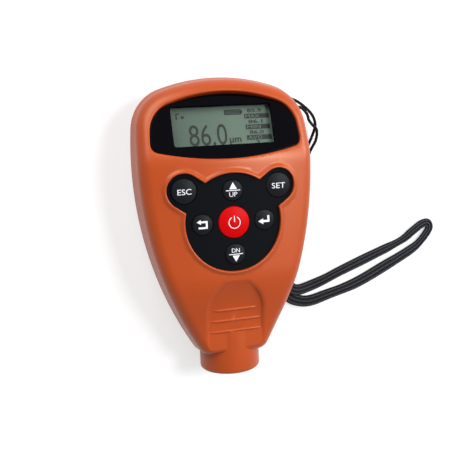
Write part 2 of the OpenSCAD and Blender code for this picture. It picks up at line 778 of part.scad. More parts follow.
module case_screws() {
  color(steel) on_both_sides(bosses) translate([0, 0, screw_z])
    screw(screw_r, seam_z - screw_z + screw_bite, head_r, head_t, 1.4);
}

// Round cell with a button at its upper end
module cell(turn) {
  side = turn ? 1 : -1;
  translate([side * (cell_r + 0.35), turn ? bay_bot + contact_w + 0.05 : bay_top - contact_w - 0.05, cell_z])
    rotate([turn ? -90 : 90, 0, 0]) {
      cylinder(r = 1.9, h = 1.2);
      translate([0, 0, 1]) cylinder(r = cell_r, h = cell_l - 1);
    }
}

module battery_left() { color([0.2, 0.35, 0.3]) cell(false); }
module battery_right() { color([0.2, 0.35, 0.3]) cell(true); }

module battery_springs() {
  up = bat_spring_l - 2 * wire_r - 0.1;
  path = coil(3.4, 2.2, up, 3, 12);
  color(steel) {
    translate([-cell_r - 0.35, bay_bot + contact_w + wire_r + 0.03, cell_z])
      rotate([-90, 0, 0]) sweep(path, wire_r, wire_r, [0, 0, 1], 6);
    translate([cell_r + 0.35, bay_top - contact_w - wire_r - 0.03, cell_z])
      rotate([90, 0, 0]) sweep(path, wire_r, wire_r, [0, 0, 1], 6);
  }
}

module battery_contacts() {
  color(steel) {
    translate([-bay_w / 2 + 0.5, bay_bot, cell_z - 4]) cube([bay_w - 1, contact_w, 8]);
    for (side = [-1, 1]) translate([side * (cell_r + 0.35) - 4.2, bay_top - contact_w, cell_z - 4])
      cube([8.4, contact_w, 8]);
  }
}

// Probe housing: stepped tube with a groove that the rear cover's rib holds
module probe_housing() {
  color(black) probe_axis() difference() {
    translate([0, 0, s_back]) cylinder(r = housing_r, h = s_front - s_back);
    translate([0, 0, s_stop - 1]) cylinder(r = plunger_r + run_gap, h = s_front);
    translate([0, 0, s_back - 1]) cylinder(r = chamber_r, h = s_stop - s_back + 1);
    translate([0, 0, s_groove - 0.8]) difference() {
      cylinder(r = nose_r, h = 1.6);
      translate([0, 0, -1]) cylinder(r = housing_r - 0.9, h = 4);
    }
  }
}

module probe_cap() {
  color(black) probe_axis() translate([0, 0, s_back]) difference() {
    cylinder(r = chamber_r - run_gap, h = s_cap - s_back);
    translate([0, 0, -1]) cylinder(r = tail_r + 0.3, h = s_cap - s_back + 2);
  }
}

module probe_spring() {
  length = s_stop - 0.05 - flange_t - s_cap;
  color(steel) probe_axis() translate([0, 0, s_cap + wire_r + 0.04])
    sweep(coil(spring_r, spring_r, length - 2 * wire_r - 0.08, 4, 12), wire_r, wire_r, [0, 0, 1], 6);
}

// Plunger: sleeve that slides in the housing, with a stop flange and a tail inside the spring
module probe_plunger() {
  color(steel) probe_axis() difference() {
    union() {
      translate([0, 0, s_stop - 1]) cylinder(r = plunger_r, h = s_nose - 0.4 - s_stop + 1);
      translate([0, 0, s_stop - 0.05 - flange_t]) cylinder(r = chamber_r - 0.2, h = flange_t);
      translate([0, 0, s_cap + 0.5]) cylinder(r = tail_r, h = s_stop - s_cap - 1);
    }
    translate([0, 0, s_hollow]) cylinder(r = plunger_r - 1.2, h = probe_l);
  }
}

module probe_coil() {
  color([0.72, 0.42, 0.2]) probe_axis() translate([0, 0, s_hollow + 0.1]) difference() {
    cylinder(r = plunger_r - 1.3, h = s_nose - s_hollow - 0.6);
    translate([0, 0, -1]) cylinder(r = tip_r + 0.1, h = probe_l);
  }
}

module probe_plate() {
  color([0.85, 0.86, 0.88]) probe_axis() translate([0, 0, s_nose - 0.4]) difference() {
    cylinder(r = plunger_r, h = 0.6);
    translate([0, 0, -1]) cylinder(r = tip_r + 0.05, h = 4);
  }
}

module probe_tip() {
  color(steel) probe_axis() {
    translate([0, 0, s_hollow + 0.1]) cylinder(r = tip_r, h = s_nose + tip_reach - tip_r - s_hollow - 0.1);
    translate([0, 0, s_nose + tip_reach - tip_r]) sphere(tip_r);
  }
}

module strap_cord() {
  color(black) sweep(cord_route, cord_d / 2, cord_d / 2, [0, 0, 1], 8);
}

module strap_joiner() {
  color(black) translate([joiner_at.x, joiner_at.y, joiner_h / 2]) rotate(joiner_turn)
    rotate([90, 0, 0]) linear_extrude(joiner_l, center = true) round_box([joiner_w, joiner_h], 1.4);
}

module wrist_strap() {
  color(black) sweep(smooth(strap_route, 2), strap_w / 2, strap_t / 2, [0, 0, 1], 10);
}

front_cover();
rear_cover();
battery_door();
display_lens();
lcd_glass();
lcd_backlight();
lcd_frame();
lcd_ribbon();
keypad_mat();
left_key();
right_key();
up_key();
down_key();
back_key();
enter_key();
power_key();
main_board();
board_chips();
key_contacts();
board_screws();
case_screws();
battery_left();
battery_right();
battery_springs();
battery_contacts();
probe_housing();
probe_cap();
probe_spring();
probe_plunger();
probe_coil();
probe_plate();
probe_tip();
strap_cord();
strap_joiner();
wrist_strap();
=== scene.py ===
import json
from math import asin, atan2, cos, degrees, hypot, pi, radians, sin, sqrt, tan

import bmesh
import bpy
from mathutils import Matrix, Vector


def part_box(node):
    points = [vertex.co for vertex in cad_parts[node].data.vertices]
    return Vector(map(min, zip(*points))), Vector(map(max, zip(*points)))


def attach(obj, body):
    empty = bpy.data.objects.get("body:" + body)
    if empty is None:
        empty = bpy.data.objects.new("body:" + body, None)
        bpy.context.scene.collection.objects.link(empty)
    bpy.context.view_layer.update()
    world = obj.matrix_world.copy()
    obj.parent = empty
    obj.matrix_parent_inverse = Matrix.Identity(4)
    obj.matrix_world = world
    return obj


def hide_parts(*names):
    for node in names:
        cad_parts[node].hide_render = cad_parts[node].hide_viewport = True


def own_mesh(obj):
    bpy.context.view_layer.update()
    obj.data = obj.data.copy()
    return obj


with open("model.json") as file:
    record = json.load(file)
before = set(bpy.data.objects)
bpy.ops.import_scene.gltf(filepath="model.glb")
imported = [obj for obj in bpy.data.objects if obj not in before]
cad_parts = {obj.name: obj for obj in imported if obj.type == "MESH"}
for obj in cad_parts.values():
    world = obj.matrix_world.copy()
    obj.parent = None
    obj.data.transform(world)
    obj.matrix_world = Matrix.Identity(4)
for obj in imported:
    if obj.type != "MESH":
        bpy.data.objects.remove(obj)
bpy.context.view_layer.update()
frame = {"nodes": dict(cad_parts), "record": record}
scene = bpy.context.scene
mm = 0.001
cutPast = 1  # how far a cut reaches past what it cuts, mm
farUp = 40  # a height above the whole part, mm
print("frame loaded:", len(frame["nodes"]), "nodes")


# Camera, from where the keypad circle and the display lie in the 470 pixel frame
cameraSpec = {
    "aim": (0, 3.5, 27),  # keypad centre, mm
    "yaw": 15.55, "pitch": 9.33, "roll": 2.66,
    "distance": 239, "shiftX": -0.2, "shiftY": 4.3,  # mm
    "lens": 53.6, "sensor": 36, "clipStart": 5,  # mm
}


def addCamera(spec):
    turn = Matrix.Rotation(radians(spec["roll"]), 3, "Z")
    turn = turn @ Matrix.Rotation(radians(spec["pitch"]), 3, "X")
    turn = turn @ Matrix.Rotation(radians(spec["yaw"]), 3, "Y")
    back = Vector((-spec["shiftX"], -spec["shiftY"], spec["distance"]))
    place = Vector(spec["aim"]) + turn.transposed() @ back
    bpy.ops.object.camera_add(location=place * mm, rotation=turn.transposed().to_euler())
    camera = bpy.context.object
    camera.data.lens = spec["lens"]
    camera.data.sensor_width = spec["sensor"]
    camera.data.clip_start = spec["clipStart"] * mm
    scene.camera = camera


addCamera(cameraSpec)
scene.view_settings.view_transform = "Standard"
print("camera placed")


# Finishes: two tones that drift into each other, under a fine moulding grain
grainForm = {"fineDetail": 3, "slowScale": 70, "slowDetail": 2,
             "low": 0.3, "high": 0.7, "spread": 0.12, "bump": 0.4}
weaveForm = {
    # the light colour laid on each ridge crest of the strap is a painted highlight
    "light": (16, 17, 21), "dark": (10, 11, 14), "crestHighlight": (70, 73, 80), "shade": (0.55, 0.55, 0.57, 1),
    "rough": 0.55, "grain": 40, "depth": 0.12, "ridges": 3, "sharp": 4, "plaits": 6,
    "scale": 0.6, "wander": 0.6,
}
finishes = {}


def setInputs(node, **values):
    for label, value in values.items():
        node.inputs[label.replace("_", " ")].default_value = value
    return node


def addNode(tree, kind, **values):
    return setInputs(tree.nodes.new("ShaderNode" + kind), **values)


def wire(source, given, target, taken):
    source.id_data.links.new(source.outputs[given], target.inputs[taken])


def reckon(operation, *terms):
    # one Math node, whose first term comes from another node
    tree = terms[0].id_data
    step = addNode(tree, "Math")
    step.operation = operation
    for socket, term in zip(step.inputs, terms):
        if isinstance(term, (int, float)):
            socket.default_value = term
        else:
            tree.links.new(term, socket)
    return step.outputs["Value"]


def mixColours(tree, colour, blend="MIX"):
    mix = addNode(tree, "Mix")
    mix.data_type = "RGBA"
    mix.blend_type = blend
    return setInputs(mix, B=colour)


def buildGrain():
    # fine grain over a slow drift: Height for bump and roughness, Drift for colour
    g = grainForm
    tree = bpy.data.node_groups.new("mouldGrain", "ShaderNodeTree")
    for label, way, kind in (("Vector", "INPUT", "Vector"), ("Scale", "INPUT", "Float"),
                             ("Height", "OUTPUT", "Float"), ("Drift", "OUTPUT", "Float")):
        tree.interface.new_socket(label, in_out=way, socket_type="NodeSocket" + kind)
    start, end = tree.nodes.new("NodeGroupInput"), tree.nodes.new("NodeGroupOutput")
    fine = addNode(tree, "TexNoise", Detail=g["fineDetail"])
    slow = addNode(tree, "TexNoise", Scale=g["slowScale"], Detail=g["slowDetail"])
    wire(start, "Vector", fine, "Vector")
    wire(start, "Scale", fine, "Scale")
    wire(start, "Vector", slow, "Vector")
    wire(fine, "Fac", end, "Height")
    wire(slow, "Fac", end, "Drift")
    return tree


grainGroup = buildGrain()


def linear(r, g, b):
    # screen colour of 0 to 255 to the light that the shaders reckon with
    def one(v):
        v /= 255
        return v / 12.92 if v <= 0.04045 else ((v + 0.055) / 1.055) ** 2.4
    return one(r), one(g), one(b), 1


def addFinish(name, light, dark, rough, grain=3000, depth=0.02, source="Object", **sockets):
    # colour drifts between two tones, roughness follows the grain, and the grain is a light bump
    g = grainForm
    material = bpy.data.materials.new(name)
    material.use_nodes = True
    tree = material.node_tree
    shader = setInputs(tree.nodes["Principled BSDF"], **sockets)
    texture = addNode(tree, "Group")
    texture.node_tree = grainGroup
    setInputs(texture, Scale=grain)
    wire(addNode(tree, "TexCoord"), source, texture, "Vector")
    tones = setInputs(mixColours(tree, linear(*light)), A=linear(*dark))
    wire(texture, "Drift", tones, "Factor")
    wire(tones, "Result", shader, "Base Color")
    gloss = addNode(tree, "MapRange", From_Min=g["low"], From_Max=g["high"],
                    To_Min=rough * (1 - g["spread"]), To_Max=rough * (1 + g["spread"]))
    wire(texture, "Height", gloss, "Value")
    wire(gloss, "Result", shader, "Roughness")
    bump = addNode(tree, "Bump", Strength=g["bump"], Distance=depth * mm)
    wire(texture, "Height", bump, "Height")
    wire(bump, "Normal", shader, "Normal")
    finishes[name] = material
    return tree


def addStrapFinish(name):
    # woven look in the strap's own UV, turns in u and millimetres in v, with a painted highlight along each
    # ridge crest
    w = weaveForm
    tree = addFinish(name, w["light"], w["dark"], w["rough"], w["grain"], w["depth"], "UV",
                     Sheen_Weight=0.03, Sheen_Roughness=0.5, Specular_IOR_Level=0.1)
    nodes = tree.nodes
    place = nodes["Texture Coordinate"]
    turn = addNode(tree, "SeparateXYZ")
    wire(place, "UV", turn, "Vector")
    across = reckon("COSINE", reckon("MULTIPLY", turn.outputs["X"], 2 * pi))
    half = pi * w["ridges"]
    ridge = reckon("COSINE", reckon("MULTIPLY_ADD", across, half, half))
    crest = reckon("POWER", reckon("MULTIPLY_ADD", ridge, -0.5, 0.5), w["sharp"])
    slant = addNode(tree, "Mapping", Scale=(w["plaits"], 1, 1))
    wire(place, "UV", slant, "Vector")
    weave = addNode(tree, "TexWave", Scale=w["scale"], Distortion=w["wander"])
    weave.bands_direction = "DIAGONAL"
    wire(slant, "Vector", weave, "Vector")
    # painted highlight: the crest mask mixes a light colour into the strap along each ridge
    paintedHighlight = mixColours(tree, linear(*w["crestHighlight"]))
    wire(nodes["Mix"], "Result", paintedHighlight, "A")
    tree.links.new(crest, paintedHighlight.inputs["Factor"])
    shade = mixColours(tree, w["shade"], "MULTIPLY")
    wire(paintedHighlight, "Result", shade, "A")
    wire(weave, "Fac", shade, "Factor")
    wire(shade, "Result", nodes["Principled BSDF"], "Base Color")
    wire(weave, "Fac", nodes["Bump"], "Height")


def addDisplayFinish(name, light, dark, shade, start, end):
    # display green, with painted shade that darkens it towards its left end
    tree = addFinish(name, light, dark, 0.3, grain=2500, depth=0.004)
    split = addNode(tree, "SeparateXYZ")
    wire(tree.nodes["Texture Coordinate"], "Object", split, "Vector")
    fade = addNode(tree, "MapRange", From_Min=start * mm, From_Max=end * mm, To_Min=1, To_Max=0)
    wire(split, "X", fade, "Value")
    # painted shade: the base colour is multiplied down towards the display's left end
    paintedShade = mixColours(tree, (shade, shade, shade, 1), "MULTIPLY")
    wire(fade, "Result", paintedShade, "Factor")
    wire(tree.nodes["Mix"], "Result", paintedShade, "A")
    wire(paintedShade, "Result", tree.nodes["Principled BSDF"], "Base Color")


addFinish("orange_shell", (174, 66, 14), (168, 62, 11), 0.36, depth=0.03,
          Specular_IOR_Level=0.5, Specular_Tint=linear(255, 236, 210))
addFinish("lens_black", (4, 3, 8), (2, 2, 5), 0.08, grain=900, depth=0.001, Specular_IOR_Level=0.05)
addFinish("lcd_ink", (14, 22, 17), (10, 17, 13), 0.5, depth=0.004)
addFinish("white_plastic", (228, 230, 228), (218, 221, 219), 0.5)
addFinish("ribbon_amber", (182, 118, 46), (168, 104, 36), 0.4, depth=0.01)
addFinish("mat_black", (10, 13, 17), (7, 10, 14), 0.62, grain=4200, Specular_IOR_Level=0.04)
addFinish("key_black", (13, 15, 19), (10, 12, 16), 0.45, grain=4200, depth=0.015, Specular_IOR_Level=0.1)
addFinish("key_red", (204, 5, 11), (194, 3, 8), 0.42, grain=4200, depth=0.015, Specular_IOR_Level=0.06)
addFinish("legend_white", (236, 238, 240), (226, 229, 232), 0.6, depth=0.005)
addFinish("board_green", (34, 104, 60), (26, 88, 50), 0.45, grain=1200)
addFinish("chip_black", (34, 34, 36), (26, 26, 28), 0.5)
addFinish("contact_gold", (212, 176, 96), (198, 162, 84), 0.3, Metallic=1)
addFinish("steel", (190, 192, 195), (176, 178, 182), 0.3, grain=1600, depth=0.01, Metallic=1)
addFinish("cell_sleeve", (78, 120, 104), (62, 100, 86), 0.35, grain=800, depth=0.005)
addFinish("probe_black", (34, 34, 36), (26, 26, 28), 0.4, grain=2600)
addFinish("wear_plate", (206, 207, 210), (190, 192, 196), 0.22, grain=1400, depth=0.006, Metallic=1)
addFinish("copper", (190, 120, 66), (172, 104, 52), 0.35, grain=1400, Metallic=1)
addFinish("tip_chrome", (218, 219, 222), (206, 208, 212), 0.12, grain=1400, depth=0.002, Metallic=1)
addFinish("cord_black", (16, 17, 21), (10, 11, 14), 0.55, grain=40, source="UV", Specular_IOR_Level=0.1)
addFinish("lens_clear", (10, 11, 14), (8, 9, 12), 0.08, grain=900, depth=0.001,
          Specular_IOR_Level=0.1, Alpha=0.1)
addStrapFinish("strap_black")
addDisplayFinish("lcd_green", (110, 132, 117), (100, 122, 107), 0.62, -20, 4)
for part in frame["record"]["subparts"]:
    node = frame["nodes"][part["node"]]
    node.data.materials.clear()
    node.data.materials.append(finishes[part["material_slot"]])
print("finishes:", len(finishes))


# Modelling helpers
def startFresh():
    if bpy.context.object and bpy.context.object.mode != "OBJECT":
        closeMesh()
    bpy.ops.object.select_all(action="DESELECT")


def pick(piece):
    startFresh()
    piece.select_set(True)
    bpy.context.view_layer.objects.active = piece


def openMesh():
    bpy.ops.object.mode_set(mode="EDIT")
    bpy.ops.mesh.select_all(action="SELECT")


def closeMesh():
    bpy.ops.object.mode_set(mode="OBJECT")


def applyStep(piece, kind, **settings):
    # one modifier on the active piece, set up and applied
    bpy.ops.object.modifier_add(type=kind)
    step = piece.modifiers[-1]
    for label, value in settings.items():
        setattr(step, label, value)
    bpy.ops.object.modifier_apply(modifier=step.name)


def placeSelected(piece, ring):
    mesh = bmesh.from_edit_mesh(piece.data)
    step = mesh.verts.layers.int.get("step")
    for v in mesh.verts:
        if v.select:
            v.co = Vector(ring[v[step]]) * mm
    bmesh.update_edit_mesh(piece.data)


def loftRings(name, rings, closed=False):
    # a circle is moved to the first ring and extruded from ring to ring
    startFresh()
    bpy.ops.mesh.primitive_circle_add(vertices=len(rings[0]), radius=mm)
    piece = bpy.context.object
    piece.name = name
    bpy.ops.object.mode_set(mode="EDIT")
    mesh = bmesh.from_edit_mesh(piece.data)
    step = mesh.verts.layers.int.new("step")
    for i, v in enumerate(mesh.verts):
        v[step] = i
    placeSelected(piece, rings[0])
    for ring in rings[1:]:
        bpy.ops.mesh.extrude_edges_indiv()
        placeSelected(piece, ring)
    bpy.ops.mesh.select_mode(type="EDGE")
    bpy.ops.mesh.select_all(action="DESELECT")
    bpy.ops.mesh.select_non_manifold()
    if closed:
        bpy.ops.mesh.bridge_edge_loops()
    else:
        bpy.ops.mesh.select_all(action="SELECT")
        bpy.ops.mesh.fill_holes(sides=0)
    bpy.ops.mesh.select_all(action="SELECT")
    bpy.ops.mesh.normals_make_consistent()
    bpy.ops.mesh.select_mode(type="VERT")
    closeMesh()
    piece.data.attributes.remove(piece.data.attributes["step"])
    return piece


def addBlock(name, low, high, rounding=0):
    startFresh()
    middle = [(a + b) / 2 * mm for a, b in zip(low, high)]
    bpy.ops.mesh.primitive_cube_add(size=1, location=middle)
    piece = bpy.context.object
    piece.name = name
    piece.scale = [(b - a) * mm for a, b in zip(low, high)]
    bpy.ops.object.transform_apply()
    if rounding:
        openMesh()
        bpy.ops.mesh.bevel(offset=rounding * mm, segments=3)
        closeMesh()
    return piece


def circleRing(x, y, z, radius, count):
    turns = [2 * pi * i / count for i in range(count)]
    return [(x + radius * cos(a), y + radius * sin(a), z) for a in turns]


def turnedUp(name, x, y, profile, count=48):
    # a turned piece on a vertical axis, from its profile of radius and height
    return loftRings(name, [circleRing(x, y, z, r, count) for r, z in profile])


def joinPieces(name, pieces):
    startFresh()
    for piece in pieces:
        piece.select_set(True)
    bpy.context.view_layer.objects.active = pieces[0]
    if len(pieces) > 1:
        bpy.ops.object.join()
    pieces[0].name = name
    return pieces[0]


def combine(piece, other, operation):
    pick(piece)
    applyStep(piece, "BOOLEAN", object=other, operation=operation, solver="MANIFOLD")
    bpy.data.objects.remove(other)


def cutAway(piece, *cutters):
    for cutter in cutters:
        combine(piece, cutter, "DIFFERENCE")


def addOn(piece, *parts):
    for part in parts:
        combine(piece, part, "UNION")


def mergeSlivers(piece, reach=0.004):
    # points that the cuts left almost on each other become one
    pick(piece)
    openMesh()
    bpy.ops.mesh.remove_doubles(threshold=reach * mm)
    bpy.ops.mesh.dissolve_degenerate(threshold=reach * mm)
    closeMesh()


def finishPiece(piece, body, finish, angle=32):
    pick(piece)
    piece.data.materials.clear()
    piece.data.materials.append(finishes[finish])
    bpy.ops.object.shade_smooth_by_angle(angle=radians(angle))
    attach(piece, body)


# Form of the two covers, in millimetres
caseForm = {
    "topY": 53, "bottomY": -45.8, "halfWidth": 31.75, "wideY": 23.5, "face": 27, "seam": 11.5,
    "topRadius": 65, "shoulderRadius": 15, "sideRadius": 130, "cornerRadius": 6, "leastCorner": 0.3,
    "crown": 160, "frontRounding": 4, "backRounding": 7, "flatInset": 0.4,
    "lean": 0.8, "groove": 0.4, "wall": 2, "tilt": 17, "bendY": 25.5, "bendBlend": 2,
    "fall": 4.4, "fallY": -14, "fallLength": 26,
    "topSteps": 22, "shoulderSteps": 16, "sideSteps": 40, "cornerSteps": 8, "bottomSteps": 64,
    "edgeSteps": 10, "wallSteps": 4, "capSteps": 44, "backSteps": 12,
    "innerEdgeSteps": 4, "innerCapSteps": 24, "innerBackSteps": 5,
}
scoopForm = {
    "halfWidth": 10.8, "arch": 1.2, "topY": -17.2, "runOut": 0.6, "flatY": -37, "depth": 5, "lean": 1.2,
    "openPast": 3, "thinner": 0.4, "archSteps": 24, "sideSteps": 20, "bottomSteps": 12, "fitRounds": 4,
    "edge": (  # inset and drop, from above the face over its soft edge
        (-3, -2), (-1.5, -0.05), (-1.1, 0.02), (-0.75, 0.1), (-0.45, 0.24), (-0.2, 0.46), (-0.05, 0.8)),
    "foot": (  # inset and share of the depth, down the wall and round into the floor
        (0, 0.3), (0.02, 0.45), (0.1, 0.6), (0.25, 0.74), (0.5, 0.86), (0.85, 0.94), (1.3, 0.985), (1.9, 1)),
    "floor": (2.7, 3.5, 4.5, 5.5, 6.5, 7.5),  # insets
    "ribs": ((-28, 8), (-32, 9.5), (-36, 9.5)),  # y and reach to each side
    "ribRadius": 0.6, "ribSunk": 0.2, "ribBlunt": 8, "ribRings": 25, "ribSides": 24,
}
noseForm = {"radius": 11, "endY": -52.4, "startY": -36.55, "rounding": 1.2, "bore": 8.6, "boreEndY": -27.95,
            "roundSteps": 6, "sides": 96}
padForm = {
    "y": 3.5, "radius": 17, "earRadius": 6, "earX": 16.6, "earY": 11.7, "low": 19,
    "topSteps": 10, "earSteps": 28, "lowSteps": 36,
    "lip": (  # outwards from the pad and up from the face
        (-0.3, -0.6), (-0.3, 0.2), (0.02, 0.42), (0.08, 0.52), (0.2, 0.6), (0.36, 0.62), (0.56, 0.57),
        (0.8, 0.44), (1.05, 0.28), (1.3, 0.13), (1.6, 0), (1.7, -0.3), (0.9, -0.8)),
}
windowForm = {
    "rim": 5, "bottomRadius": 84, "corner": 2.4, "lensTop": -2.4, "lensLow": -3.6,
    "ledge": 1.2, "ledgeLow": -4.8, "holeLow": -6.8, "keepTop": 12,
    "cornerSteps": 8, "bottomSteps": 30, "points": 200,
    "flare": (  # outwards from the window and up from the face
        (0, -0.75), (0.04, -0.5), (0.14, -0.28), (0.3, -0.12), (0.52, -0.02), (0.8, 0.05), (2.5, 2)),
}
bossForm = {
    "places": ((25, 22), (14.5, -24.08)), "radius": 3, "frontLow": 5, "rearTop": 12, "sides": 32,
    "headRadius": 2.4, "headZ": 5.5, "chamfer": 0.35, "hole": 1.35, "holeZ": (1, 15),
    "pilot": 1.1, "pilotZ": (8, 19.5),
}


def circlesMeet(c0, r0, c1, r1):
    gap = hypot(c1[0] - c0[0], c1[1] - c0[1])
    ux, uy = (c1[0] - c0[0]) / gap, (c1[1] - c0[1]) / gap
    along = (r0 * r0 - r1 * r1 + gap * gap) / (2 * gap)
    aside = sqrt(r0 * r0 - along * along)
    return c0[0] + along * ux + aside * uy, c0[1] + along * uy - aside * ux


topCentre = (0, caseForm["topY"] - caseForm["topRadius"])
sideCentre = (caseForm["halfWidth"] - caseForm["sideRadius"], caseForm["wideY"])
shoulderCentre = circlesMeet(topCentre, caseForm["topRadius"] - caseForm["shoulderRadius"],
                             sideCentre, caseForm["sideRadius"] - caseForm["shoulderRadius"])


def angleOf(a, b):
    return degrees(atan2(b[1] - a[1], b[0] - a[0]))


def arcPoints(centre, radius, start, end, steps, first=1):
    angles = [radians(start + (end - start) * i / steps) for i in range(first, steps + 1)]
    return [(centre[0] + radius * cos(a), centre[1] + radius * sin(a)) for a in angles]


def outlineRight(inset):
    # right half of the plan outline: top, shoulder, side and corner arcs that meet tangentially
    f = caseForm
    corner = max(f["cornerRadius"] - inset, f["leastCorner"])
    cy = f["bottomY"] + inset + corner
    cx = sideCentre[0] + sqrt((f["sideRadius"] - inset - corner) ** 2 - (cy - f["wideY"]) ** 2)
    topEnd = angleOf(topCentre, shoulderCentre)
    sideStart = angleOf(sideCentre, shoulderCentre)
    sideEnd = angleOf(sideCentre, (cx, cy))
    return (arcPoints(topCentre, f["topRadius"] - inset, 90, topEnd, f["topSteps"])
            + arcPoints(shoulderCentre, f["shoulderRadius"] - inset, topEnd, sideStart, f["shoulderSteps"])
            + arcPoints(sideCentre, f["sideRadius"] - inset, sideStart, sideEnd, f["sideSteps"])
            + arcPoints((cx, cy), corner, sideEnd, -90, f["cornerSteps"]))


def outline(inset):
    right = outlineRight(inset)
    x, y = right[-1]
    n = caseForm["bottomSteps"]
    bottom = [(x * (1 - 2 * k / n), y) for k in range(1, n)]
    return [(0, caseForm["topY"] - inset)] + right + bottom + [(-a, b) for a, b in reversed(right)]


def bodyHeight(x, y):
    f = caseForm
    t, b = y - f["bendY"], f["bendBlend"]
    fall = 0 if t <= -b else t if t >= b else (t + b) ** 2 / (4 * b)
    ease = min(max((f["fallY"] - y) / f["fallLength"], 0), 1)
    fall = tan(radians(f["tilt"])) * fall + f["fall"] * ease * ease * (3 - 2 * ease)
    return f["face"] - x * x / (2 * f["crown"]) - fall


def scoopHeight(y):
    # floor of the thumb scoop: flat below, then rising to the face at the top of the arch
    s = scoopForm
    rise = s["topY"] + s["runOut"] - s["flatY"]
    radius = (rise ** 2 + s["depth"] ** 2) / (2 * s["depth"])
    reach = min(max(y - s["flatY"], 0), rise)
    return caseForm["face"] - s["depth"] + radius - sqrt(radius ** 2 - reach ** 2)


def quarterRound(radius, steps):
    # inset and drop along a quarter round, from its upright side to its level one
    angles = [radians(90 * i / steps) for i in range(steps + 1)]
    return [(radius * (1 - cos(a)), radius * (1 - sin(a))) for a in angles]


def levelRing(inset, z):
    return [(x, y, z) for x, y in outline(inset)]


def onFace(points, rise):
    return [(x, y, bodyHeight(x, y) + rise) for x, y in points]


def capRings(inset, drop, count):
    # rings that close in on the keypad centre, following the crowned face
    middle = padForm["y"]
    rings = []
    for k in range(1, count):
        share = 1 - k / count
        rings.append(onFace([(x * share, middle + (y - middle) * share) for x, y in outline(inset)], -drop))
    return rings


def edgeRings(inset, radius, drop, steps):
    return [onFace(outline(inset + u), -(drop + v)) for u, v in quarterRound(radius, steps)]


def backRings(inset, radius, base, steps):
    return [levelRing(inset + u, base + v) for u, v in reversed(quarterRound(radius, steps))]


def between(a, b, share):
    return [tuple(p + (q - p) * share for p, q in zip(u, v)) for u, v in zip(a, b)]


def frontSolid():
    f = caseForm
    low = levelRing(0, f["seam"] + f["groove"])
    edge = edgeRings(f["lean"], f["frontRounding"], 0, f["edgeSteps"])
    walls = [between(low, edge[0], k / f["wallSteps"]) for k in range(1, f["wallSteps"])]
    cap = capRings(f["lean"] + f["frontRounding"], 0, f["capSteps"])
    return loftRings("frontCover", [levelRing(f["groove"], f["seam"]), low] + walls + edge + cap)


def frontCavity():
    f = caseForm
    wall = f["wall"]
    radius = f["frontRounding"] - wall / 2
    low = [levelRing(wall, f["seam"] - cutPast), levelRing(wall, f["seam"] + f["groove"])]
    edge = edgeRings(wall + f["lean"], radius, wall, f["innerEdgeSteps"])
    cap = capRings(wall + f["lean"] + radius, wall, f["innerCapSteps"])
    return loftRings("frontCavity", low + edge + cap)


def rearSolid():
    f = caseForm
    edge = backRings(f["lean"], f["backRounding"], 0, f["backSteps"])
    flat = levelRing(f["lean"] + f["backRounding"] + f["flatInset"], 0)
    top = [levelRing(0, f["seam"] - f["groove"]), levelRing(f["groove"], f["seam"])]
    return loftRings("rearCover", [flat] + edge + top)


def rearCavity():
    f = caseForm
    wall = f["wall"]
    edge = backRings(wall + f["lean"], f["backRounding"] - wall, wall, f["innerBackSteps"])
    top = [levelRing(wall, f["seam"] - f["groove"]), levelRing(wall, f["seam"] + cutPast)]
    return loftRings("rearCavity", edge + top)


def axisRing(radius, y):
    return [(x, y, z) for x, z, level in circleRing(0, caseForm["seam"], 0, radius, noseForm["sides"])]


def noseHalf(name, keepUpper):
    n = noseForm
    profile = [(n["radius"], n["startY"]), (n["radius"], caseForm["bottomY"])]
    profile += [(n["radius"] - u, n["endY"] + v) for u, v in quarterRound(n["rounding"], n["roundSteps"])]
    piece = loftRings(name, [axisRing(radius, y) for radius, y in profile])
    openMesh()
    bpy.ops.mesh.bisect(plane_co=(0, 0, caseForm["seam"] * mm), plane_no=(0, 0, 1), use_fill=True,
                        clear_inner=keepUpper, clear_outer=not keepUpper)
    closeMesh()
    return piece


def probeBore(name):
    n = noseForm
    return loftRings(name, [axisRing(n["bore"], n["boreEndY"]), axisRing(n["bore"], n["endY"] - cutPast)])


# Keypad outline: one large lobe and two ears on straight necks
def padLoop(grow):
    p = padForm
    ear = degrees(atan2(p["earY"], p["earX"]))
    half = degrees(asin((p["earRadius"] + grow) / (p["radius"] + grow)))
    right = (arcPoints((0, 0), p["radius"] + grow, 90, ear + half, p["topSteps"], 0)
             + arcPoints((p["earX"], p["earY"]), p["earRadius"] + grow, ear + 90, ear - 90, p["earSteps"], 0)
             + arcPoints((0, 0), p["radius"] + grow, ear - half, -90, p["lowSteps"], 0))
    loop = right + [(-x, y) for x, y in reversed(right[1:-1])]
    return [(x, y + p["y"]) for x, y in loop]


def padCutter():
    return loftRings("padCutter", [[(x, y, z) for x, y in padLoop(0)] for z in (padForm["low"], farUp)])


def padLip():
    # a bead with a crisp inner edge and a soft outer slope, from its own section
    return loftRings("padLip", [onFace(padLoop(grow), rise) for grow, rise in padForm["lip"]], closed=True)


# Display window, in the plane of the tilted head
headPlace = Matrix.Translation((0, caseForm["bendY"] * mm, caseForm["face"] * mm))
headPlace = headPlace @ Matrix.Rotation(radians(-caseForm["tilt"]), 4, "X")


def onHead(x, y, z):
    return tuple(headPlace @ (Vector((x, y, z)) * mm) / mm)


